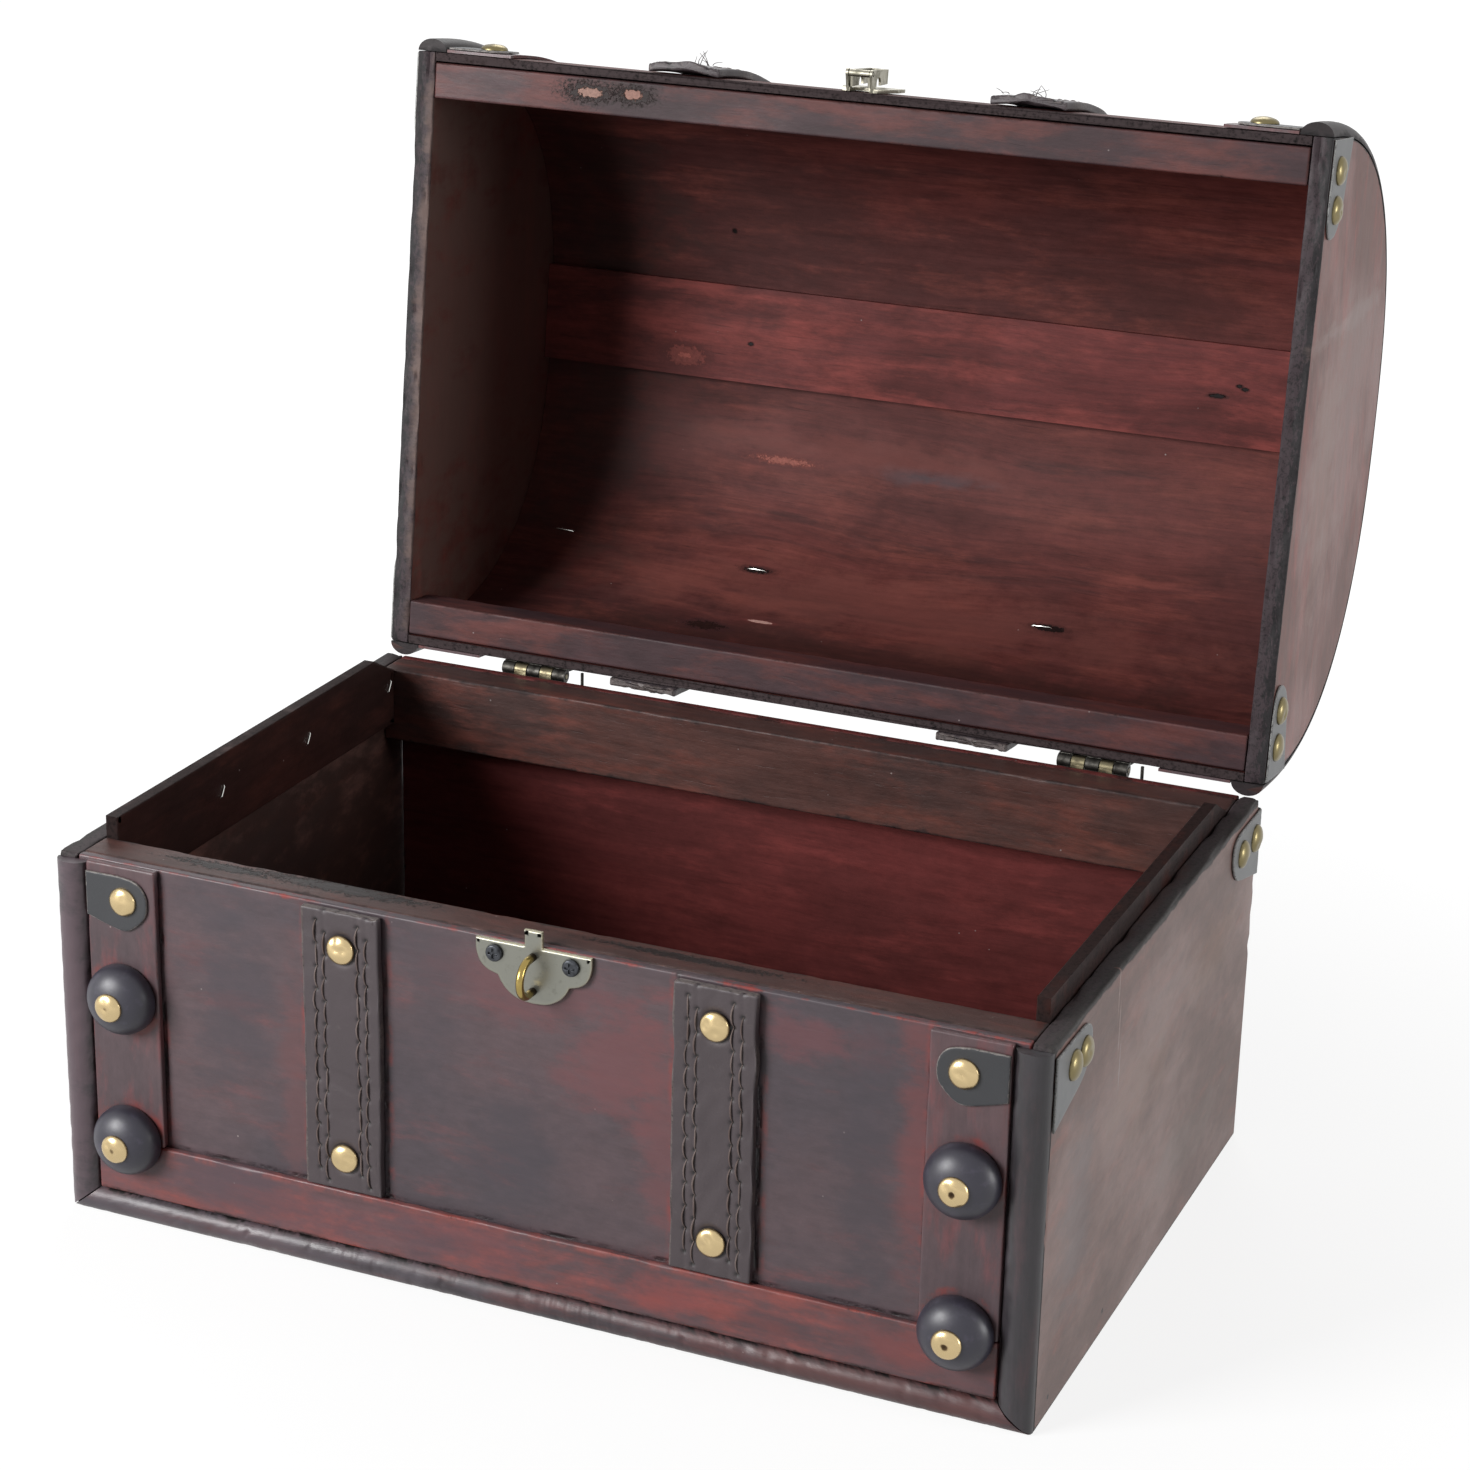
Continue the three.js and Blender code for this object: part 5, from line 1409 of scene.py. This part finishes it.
def build_base_leathers():
    """The leathers at the front corners, on the sides and round the rear corners, with their tacks."""
    for side, sign in (("left", -1), ("right", 1)):
        front = lambda p: np.stack([sign * (LEATHER_ROOT - p[..., 0]), STILE_FACE_Y - p[..., 2],
                                    LEATHER_TOP + p[..., 1]], -1)
        sheet = faced(leather_shell(FRONT_LEATHER, LEATHER_THICKNESS).moved(front), side == "right")
        piece(side + "_front_corner_leather", sheet, CORNER_LEATHER, "corner_leather", "base",
              side + "_front_leather")
        seat = on_face(sign * (LEATHER_ROOT - FRONT_TACK), STILE_FACE_Y - LEATHER_THICKNESS,
                       LEATHER_TOP - TACK_DROP)
        piece(side + "_front_corner_tack", tack_head(51 + sign).moved(seat), TACK_BRASS, "staple_brass",
              "base")

        on_it = on_side(sign, 1, -HALF_DEPTH + SIDE_INSET, LEATHER_TOP)
        sheet = faced(leather_shell(SIDE_LEATHER, LEATHER_THICKNESS).moved(on_it), side == "left")
        piece(side + "_side_corner_leather", sheet, SIDE_CORNER_LEATHER, "corner_leather", "base",
              side + "_side_leather")
        heads = tack_row(55, SIDE_TACKS, LEATHER_THICKNESS, on_it, side == "left")
        piece(side + "_side_corner_tacks", heads, DULL_TACK_BRASS, "staple_brass", "base")

        build_rear_leather(side, sign)


# The rear leathers' bend, and their reach on the back as a share of their reach on the side
WRAP_RADIUS = 0.001
BACK_SHARE = 0.72


def round_corner(sign):
    """A change from (reach, rise, out) to a sheet wrapped round a rear corner.

    Reach is forwards on the side and, below 0, inwards on the back, with a quarter turn between."""
    half = WRAP_RADIUS * pi / 4
    centre_x, centre_y = HALF_WIDTH + SEAT - WRAP_RADIUS, HALF_DEPTH + SEAT - WRAP_RADIUS

    def change(p):
        reach, rise, out = p[..., 0], p[..., 1], p[..., 2]
        turn = pi / 4 * (1 - np.clip(reach / half, -1, 1))
        x = centre_x + (WRAP_RADIUS + out) * np.cos(turn) + np.minimum(reach + half, 0)
        y = centre_y + (WRAP_RADIUS + out) * np.sin(turn) - np.maximum(reach - half, 0)
        return np.stack([sign * x, y, LEATHER_TOP + rise], -1)
    return change


def build_rear_leather(side, sign):
    """One sheet that wraps a rear corner, with two tacks on the side."""
    on_the_side = spline(SIDE_LEATHER, 8)
    on_the_back = spline(SIDE_LEATHER * np.array([-BACK_SHARE, 1]), 8)
    loop = np.concatenate([on_the_side[:-1], on_the_back[::-1]])
    wrap = round_corner(sign)
    sheet = leather_sheet(loop, LEATHER_THICKNESS, (0.002, -0.010)).moved(wrap)
    sheet = faced(sheet, side == "right")
    piece(side + "_rear_corner_leather", sheet, SIDE_CORNER_LEATHER, "corner_leather", "base",
          side + "_rear_leather")
    heads = tack_row(61, REAR_TACKS, LEATHER_THICKNESS, wrap, side == "right")
    piece(side + "_rear_corner_tacks", heads, DULL_TACK_BRASS, "staple_brass", "base")


# Latch

def build_latch_plate():
    """The winged plate, with its tab on top."""
    size = np.array([LATCH_WIDTH / 2, LATCH_HEIGHT])
    edge = np.concatenate([spline(WING_SHARES * size, 6), spline(CHIN_SHARES * size, 6)[1:]])
    tab = LATCH_TAB[0] / 2
    tab_edge = [(-tab, 0), (-tab, LATCH_TAB[1]), (tab, LATCH_TAB[1]), (tab, 0)]
    outline = np.concatenate([edge, edge[:-1][::-1] * np.array([-1, 1]), tab_edge])
    sheet = plate(even_outline(outline, 0.0006), LATCH_THICKNESS, 0.0006, 0.0005,
                  margins=(0.0002, 0.0005, 0.0009))
    sheet = sheet.moved(on_face(LATCH_X, FACE_Y, LATCH_TOP))
    piece("latch_winged_plate", sheet, LATCH_METAL, "latch_metal", "base", "latch_plate")


def build_latch_staple():
    """The wire staple: two straight legs with dirt on them and half a turn between, bright on its bow."""
    leg, bend = STAPLE_LEG + LATCH_THICKNESS, pi * STAPLE_RADIUS
    run = np.concatenate([np.linspace(0, leg, 5)[:-1], np.linspace(leg, leg + bend, 25),
                          np.linspace(leg + bend, 2 * leg + bend, 5)[1:]])
    turn = np.clip((run - leg) / STAPLE_RADIUS, 0, pi)
    out = np.minimum(run, leg) + STAPLE_RADIUS * np.sin(turn) - np.maximum(run - leg - bend, 0)
    up = STAPLE_RADIUS * np.cos(turn)
    round_wire = np.linspace(0, 2 * pi, 14, endpoint=False)
    lean_up, lean_out = np.cos(turn)[:, None], np.sin(turn)[:, None]
    wire = STAPLE_WIRE * np.ones((len(run), 1))
    grid = np.stack([wire * np.sin(round_wire),
                     up[:, None] + wire * np.cos(round_wire) * lean_up,
                     out[:, None] + wire * np.cos(round_wire) * lean_out], -1)
    away = np.minimum(run, run[-1] - run)
    marks = np.clip((away - leg) / 0.004, -1, 1)[:, None]
    loop = closed(grid, marks).moved(on_face(LATCH_X, FACE_Y, LATCH_TOP - STAPLE_DROP))
    piece("latch_wire_staple", loop, STAPLE_METAL, "staple_brass", "base", "latch_staple")


def build_latch_screws():
    """The latch's two cross screws, as the frame has them, with eased edges."""
    for side in ("left", "right"):
        eased_copy(side + "_latch_screw", side + "_cross_screw", 0.00012, SCREW_METAL,
                   "base")


# The lid

def dome_reach(rise, inset):
    """The half depth of the dome at a height above its rim."""
    share = (rise / (LID_HEIGHT - inset)) ** DOME_EXPONENT
    return (HALF_DEPTH - inset) * (1 - share) ** (1 / DOME_EXPONENT)


def across_section(outer, inner, half):
    """A closed section (depth, height) carried along X between -half and half."""
    section = np.concatenate([outer, inner])
    x = np.linspace(-half, half, 60)[:, None] + np.zeros((1, len(section)))
    return closed(np.stack([x, section[:, 0] + 0 * x, section[:, 1] + 0 * x], -1))


def bent_sheet(outer, inner, half, marks):
    """A thin sheet as rings across its width, one to each pair of points of its outer and inner lines.

    A ring runs across the outer face at one (depth, height) and back across the inner face."""
    columns = 20
    x = np.linspace(-half, half, columns)
    x = np.concatenate([x, x[::-1]])
    lines = np.concatenate([np.repeat(line[:, None], columns, 1) for line in (outer, inner)], 1)
    grid = np.concatenate([np.broadcast_to(x[:, None], lines.shape[:2] + (1,)), lines], -1)
    return closed(grid, marks[:, None])


def nibbled_rim(shell):
    """A dome end as (across, up, out) with its rim worn upwards, by up to 1.1 mm * exp(-height / 1 mm)."""
    def change(p):
        bite = np.clip(ripple(p, 0.009, 91) + 0.7 * ripple(p, 0.0035, 92), 0, 1.6)
        near = np.exp(-np.clip(p[:, 1], 0, None) / 0.001)
        return p + (0.0007 * bite * near)[:, None] * np.array([0, 1, 0])
    worn = shell.moved(change)
    worn.edges = np.maximum(worn.edges * 0.6, np.exp(-np.clip(shell.points[:, 1], 0, None) / 0.0009))
    return worn


# Half the width between the lid's sides, and where the ridge runs
LINING_HALF = HALF_WIDTH - SIDE_WALL - SEAT
RIDGE_Y = -RIDGE_FORWARD


def build_dome_ends():
    """The D-shaped sides, each a plate over the dome's outline with its rim worn."""
    arc = np.stack(dome(dome_turn(np.linspace(0, DOME_LENGTH, 120))), -1)
    outline = even_outline(arc, 0.003)
    wall = HALF_WIDTH - SIDE_WALL
    for side, sign in (("right", 1), ("left", -1)):
        sheet = plate(outline, SIDE_WALL, EASE, 0.0012, margins=(0.0006, 0.002, 0.005), walls=7,
                      two_faced=True)
        place = lambda p: opened(np.stack([sign * (wall + p[..., 2]), p[..., 0], p[..., 1]], -1))
        sheet = faced(nibbled_rim(sheet).moved(place), side == "left")
        piece(side + "_dome_end", sheet, LID_SIDE_WOOD, "side_wood", "lid", "lid_" + side + "_side")


def build_dome_skins():
    """The two bent skins, from each rim to the ridge, with their rims worn upwards."""
    before, after = RIDGE_Y - SEAT / 2, RIDGE_Y + SEAT / 2
    for name, start, end in (("front", 0.0, turn_at(before)), ("back", turn_at(after), pi)):
        inner_start = start if start == 0 else turn_at(after, PANEL_SKIN)
        inner_end = end if end == pi else turn_at(before, PANEL_SKIN)
        share = spaced(1.0, 0.003, 0.02)
        run_start, run_end = np.interp([start, end], DOME_TURNS, DOME_RUN)
        outer_turn = dome_turn(run_start + share * (run_end - run_start))
        inner_turn = np.clip(outer_turn, inner_start, inner_end)
        outer = np.stack(dome(outer_turn), -1)
        inner = np.stack(dome(inner_turn, -PANEL_SKIN), -1)
        marks = np.exp(-np.abs(outer[:, 1]) / 0.001)
        skin = bent_sheet(outer, inner, LINING_HALF, marks)
        skin.points[:, 2] += 0.0006 * np.clip(ripple(skin.points, 0.007, 93), 0, 1.5) * skin.edges
        piece("bent_" + name + "_skin", skin.moved(opened), LID_INSIDE_WOOD, "panel_wood", "lid",
              "dome_" + name + "_skin")


def build_lid_rails():
    """The rails along the rim inside the lid, from the skin inwards."""
    outer = dome_reach(LID_RAIL_HEIGHT, PANEL_SKIN + SEAT)
    inner = HALF_DEPTH - PANEL_SKIN - SEAT - RAIL_THICKNESS
    for name, near, far in (("front", -outer, -inner), ("back", inner, outer)):
        low, high = (-LINING_HALF, near, 0.0), (LINING_HALF, far, LID_RAIL_HEIGHT)
        rail = board(low, high, 0, reach=0.0012, rough=0.0003, seed=17)
        piece("lid_" + name + "_rim_rail", rail.moved(opened), LID_RAIL_WOOD, "rail_wood", "lid",
              "lid_" + name + "_rail")


def build_ridge_slat():
    """The slat under the ridge: its top follows the skins and its underside is flat."""
    inset = PANEL_SKIN + SEAT
    front, back = RIDGE_Y - SLAT_DEPTH / 2, RIDGE_Y + SLAT_DEPTH / 2
    crown = np.stack(dome(np.linspace(turn_at(front, inset), turn_at(back, inset), 16), -inset), -1)
    under = LID_HEIGHT - inset - SLAT_THICKNESS
    flat = np.stack([np.linspace(back, front, 8), np.full(8, under)], -1)
    slat = across_section(crown, flat, LINING_HALF)
    piece("ridge_board", slat.moved(opened), SLAT_WOOD, "slat_wood", "lid", "ridge_slat")


def over_dome(section, marks, x, sign):
    """A closed section (across, out) carried over the dome from rim to rim, out from the dome's face."""
    turn = dome_turn(np.linspace(0, DOME_LENGTH, 220))[:, None]
    y, z = dome(turn, SEAT + section[:, 1])
    grid = np.stack([x + sign * section[:, 0] + 0 * y, y, z], -1)
    return closed(grid, marks).moved(opened)


def build_dome_trim():
    """Half-round mouldings over both ends of the dome, and the thin bands beside them."""
    section, marks = half_round(MOULDING_WIDTH, MOULDING_PROUD)
    for side, sign in (("left", 1), ("right", -1)):
        bead = over_dome(section, marks, -sign * HALF_WIDTH, sign)
        piece(side + "_dome_bead", bead, LID_MOULDING_WOOD, "moulding_wood", "lid",
              "lid_" + side + "_moulding")
        across = np.concatenate([np.linspace(0, BAND_WIDTH, 12), np.linspace(BAND_WIDTH, 0, 12)])
        out = np.concatenate([np.full(12, BAND_THICKNESS), np.zeros(12)])
        edges = np.exp(-np.minimum(across, BAND_WIDTH - across) / 0.002)
        band = over_dome(np.stack([across, out], -1), edges, -sign * (BAND_INNER + BAND_WIDTH), sign)
        piece(side + "_dome_band", band, STILE_WOOD, "panel_wood", "lid", "lid_" + side + "_band")


def build_lid_straps():
    """The two straps over the dome, stitched from rim to rim."""
    for side, x, seed in STRAPS:
        place = on_dome(x, SEAT)
        strap = strap_shell(DOME_LENGTH, seed + 6, tail=0.0035, curl=0.0018).moved(place)
        piece(side + "_dome_strap", strap, STRAP_LEATHER, "strap_leather", "lid", "lid_" + side + "_strap")
        threads = stitches(DOME_LENGTH, seed + 8).moved(place)
        piece(side + "_dome_stitching", threads, THREAD_FINISH, "strap_leather", "lid")
        lift = np.array([0, 0, 0.0014])
        frayed = frayed_threads(seed + 10, 7).moved(lambda p: place(p + lift))
        piece(side + "_frayed_end", frayed, STRAP_LEATHER, "strap_leather", "lid")


def build_lid_leathers():
    """The lid's corner leathers: bent over the band in front, flat on the sides, each with its tacks."""
    for side, sign in (("left", -1), ("right", 1)):
        bend = on_dome(0.0, SEAT + BAND_THICKNESS + SEAT)
        front = lambda p: bend(np.stack([sign * (LEATHER_ROOT - p[..., 0]), LID_LEATHER_RISE - p[..., 1],
                                         p[..., 2]], -1))
        sheet = faced(leather_shell(FRONT_LEATHER, LID_LEATHER).moved(front), side == "left")
        piece(side + "_lid_front_leather", sheet, CORNER_LEATHER, "corner_leather", "lid",
              "lid_" + side + "_front_leather")
        head = tack_row(71 + sign, (FRONT_TACK,), LID_LEATHER, front, side == "left")
        piece(side + "_lid_front_tack", head, DULL_TACK_BRASS, "staple_brass", "lid")
        for end, way, reaches, seed in (("side", 1, LID_SIDE_TACKS, 73), ("rear", -1, LID_REAR_TACKS, 77)):
            flat = on_side(sign, way, -way * (HALF_DEPTH - SIDE_INSET), LID_LEATHER_RISE, -1.0)
            place = lambda p: opened(flat(p))
            mirrored = (side == "right") == (end == "side")
            sheet = faced(leather_shell(SIDE_LEATHER, LID_LEATHER).moved(place), mirrored)
            piece(side + "_lid_" + end + "_leather", sheet, SIDE_CORNER_LEATHER, "corner_leather", "lid",
                  "lid_" + side + "_" + end + "_leather")
            heads = tack_row(seed, reaches, LID_LEATHER, place, mirrored)
            piece(side + "_lid_" + end + "_tacks", heads, DULL_TACK_BRASS, "staple_brass", "lid")


def build_hardware():
    """The hinges and the hasp, as the frame has them, with eased edges."""
    for side in ("left", "right"):
        eased_copy(side + "_hinge_base_leaf", side + "_lower_hinge_leaf", 0.00015, HINGE_METAL,
                   "base")
        eased_copy(side + "_hinge_lid_leaf", side + "_upper_hinge_leaf", 0.00015, DARK_HINGE_METAL,
                   "lid")
    for node, name, ease, body in (("hasp_plate", "hasp_fixed_plate", 0.0002, "lid"),
                                   ("hasp_pin", "hasp_hinge_pin", 0.0001, "lid"),
                                   ("hasp_flap", "hasp_swing_flap", 0.00015, "hasp")):
        eased_copy(node, name, ease, HASP_METAL, body)


# Small things

def tube(path, radius, sides=8):
    """A round tube along a path: rings square to its run, their first arm square to a fixed direction."""
    run = np.gradient(path, axis=0)
    run /= np.linalg.norm(run, axis=1, keepdims=True)
    fixed = np.array([0.31, 0.57, 0.76])
    arm = np.cross(run, fixed)
    arm /= np.linalg.norm(arm, axis=1, keepdims=True)
    other = np.cross(run, arm)
    turn = np.linspace(0, 2 * pi, sides, endpoint=False)[None, :, None]
    reach = np.broadcast_to(np.asarray(radius, float), (len(path),))[:, None, None]
    return closed(path[:, None] + reach * (np.cos(turn) * arm[:, None] + np.sin(turn) * other[:, None]))


def staple(middle, along, out, length):
    """A wire staple's crown on a surface, both ends bent down into it."""
    steps = np.array([(-0.5, -0.0012), (-0.5, 0.0), (-0.42, 0.0003), (0.0, 0.00035), (0.42, 0.0003),
                      (0.5, 0.0), (0.5, -0.0012)])
    middle, along, out = np.array(middle), np.array(along), np.array(out)
    return tube(middle + steps[:, :1] * length * along + steps[:, 1:] * out, 0.0003)


def build_small_things():
    """Wire staples inside the dome and on the left lip, and two pins beside the hinges."""
    crowns = []
    for x, depth in DOME_STAPLES:
        turn = turn_at(depth, PANEL_SKIN)
        y, z = dome(turn, -PANEL_SKIN)
        ahead_y, ahead_z = dome(turn + 0.01, -PANEL_SKIN)
        out = np.array([0, -(ahead_z - z), ahead_y - y])
        out = out / np.linalg.norm(out)
        out = out if out @ np.array([0, -y, -z]) > 0 else -out
        crowns.append(staple((x, y, z), (0.999, -0.02 * np.sign(x), 0.0), out, DOME_CROWN))
    piece("dome_wire_staples", joined(crowns).moved(opened), STEEL_WIRE, "screw_steel", "lid")
    lip = -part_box("left_guide_lip")[1][0]
    crowns = [staple((-lip, y, z), (0, 0.55, 0.83), (1, 0, 0), LIP_CROWN) for y, z in LIP_STAPLES]
    piece("lip_wire_staples", joined(crowns), STEEL_WIRE, "screw_steel", "base")
    heights = np.linspace(PIN_LOW, PIN_HIGH, 6)
    pins = [tube(np.array([(x, PIN_Y, z) for z in heights]), PIN_RADIUS) for x in PIN_PLACES]
    piece("back_pins", joined(pins), DARK_HINGE_METAL, "screw_steel", "base")


def frayed_threads(seed, count):
    """Loose threads at a strap's end, as (across, along, out): short curls that start in the leather."""
    draw = np.random.default_rng(seed)
    share = np.linspace(0, 1, 10)[:, None]
    made = []
    for _ in range(count):
        start = np.array([draw.uniform(-0.011, 0.011), draw.uniform(0.0006, 0.003), STRAP_THICKNESS])
        lean = draw.normal(0, 1, 3) * np.array([0.5, 0.3, 0.25]) + np.array([0, 0, 1.0])
        curl = draw.normal(0, 1, 3) * np.array([0.0030, 0.0015, 0.0012])
        length = draw.uniform(0.0018, 0.0048)
        path = start + share * length * lean / np.linalg.norm(lean) + curl * share ** 2
        path[:, 2] -= 0.0004
        made.append(tube(path, 0.00017 * (1 - 0.5 * share[:, 0]), 5))
    return joined(made)


# Floor, light and camera

def build_floor():
    """A white floor that glows for the camera and for reflections, more so away from the chest."""
    size = 12.0
    corners = np.array([(-size, -size, 0), (size, -size, 0), (size, size, 0), (-size, size, 0)])
    mesh = bpy.data.meshes.new("floor")
    mesh.from_pydata(corners.tolist(), [], [(0, 1, 2, 3)])
    floor = new_object("floor", mesh)
    material, tree, shader = new_material("floor", Base_Color=(0.2, 0.2, 0.2, 1), Roughness=0.9,
                                          Specular_IOR_Level=0.0)
    seen = seen_directly(tree)
    distance = put(tree, "VectorMath", {0: own_place(tree)}, operation="LENGTH").outputs["Value"]
    whiter = plus(tree, times(tree, eased_step(tree, distance, 0.1, 0.7), 0.17), 0.85)
    glow = put(tree, "Emission", {"Color": (1, 1, 1, 1), "Strength": times(tree, seen, whiter)})
    both = put(tree, "AddShader", {0: shader.outputs[0], 1: glow.outputs[0]})
    tree.links.new(both.outputs[0], tree.nodes["Material Output"].inputs["Surface"])
    mesh.materials.append(material)


def build_surroundings():
    """White surroundings for the camera and for reflections, and a weak light from all sides."""
    world = bpy.data.worlds.new("studio")
    bpy.context.scene.world = world
    world.use_nodes = True
    tree = world.node_tree
    back = tree.nodes["Background"]
    back.inputs["Color"].default_value = (1, 1, 1, 1)
    ambient = 0.045
    strength = plus(tree, times(tree, seen_directly(tree), 1 - ambient), ambient)
    tree.links.new(strength, back.inputs["Strength"])


def seen_directly(tree):
    """1 for camera, mirror and see-through rays, 0 for the rest."""
    path = put(tree, "LightPath").outputs
    seen = plus(tree, path["Is Camera Ray"], path["Is Glossy Ray"])
    return calc(tree, "ADD", seen, path["Is Transmission Ray"], True)


def soft_light(name, azimuth, elevation, distance, size, power):
    """A square soft light that looks at the chest's middle."""
    middle = Vector((0, 0, 0.13))
    away = Vector((-sin(azimuth) * cos(elevation), -cos(azimuth) * cos(elevation), sin(elevation)))
    data = bpy.data.lights.new(name, "AREA")
    data.energy, data.size = power, size
    turn = away.to_track_quat("Z", "Y").to_matrix().to_4x4()
    new_object(name, data).matrix_world = Matrix.Translation(middle + away * distance) @ turn


def build_camera():
    """The camera where the photograph was taken, with its small roll."""
    az, el, roll = CAMERA_AZIMUTH, CAMERA_ELEVATION, CAMERA_ROLL
    ahead = Vector((-sin(az) * cos(el), cos(az) * cos(el), -sin(el)))
    level = Vector((cos(az), sin(az), 0))
    above = level.cross(ahead)
    right = level * cos(roll) + above * sin(roll)
    up = above * cos(roll) - level * sin(roll)
    turn = Matrix((right, up, -ahead)).transposed().to_4x4()
    data = bpy.data.cameras.new("camera")
    data.lens, data.sensor_width = LENS, SENSOR
    camera = new_object("camera", data)
    camera.matrix_world = Matrix.Translation(CAMERA_PLACE) @ turn
    bpy.context.scene.camera = camera


build_camera()
build_floor()
build_surroundings()
soft_light("key", radians(38), radians(22), 1.7, 0.75, 31.5)
soft_light("side fill", radians(-92), radians(8), 2.1, 0.6, 15.5)
soft_light("back fill", radians(165), radians(38), 2.3, 0.9, 12.0)

build_case()
build_front_frame()
build_corner_mouldings()
build_bottom_moulding()
build_base_straps()
build_buttons()
build_base_leathers()
build_latch_plate()
build_latch_staple()
build_latch_screws()
build_dome_ends()
build_dome_skins()
build_lid_rails()
build_ridge_slat()
build_dome_trim()
build_lid_straps()
build_lid_leathers()
build_hardware()
build_small_things()

scene = bpy.context.scene
scene.view_settings.view_transform = "Standard"
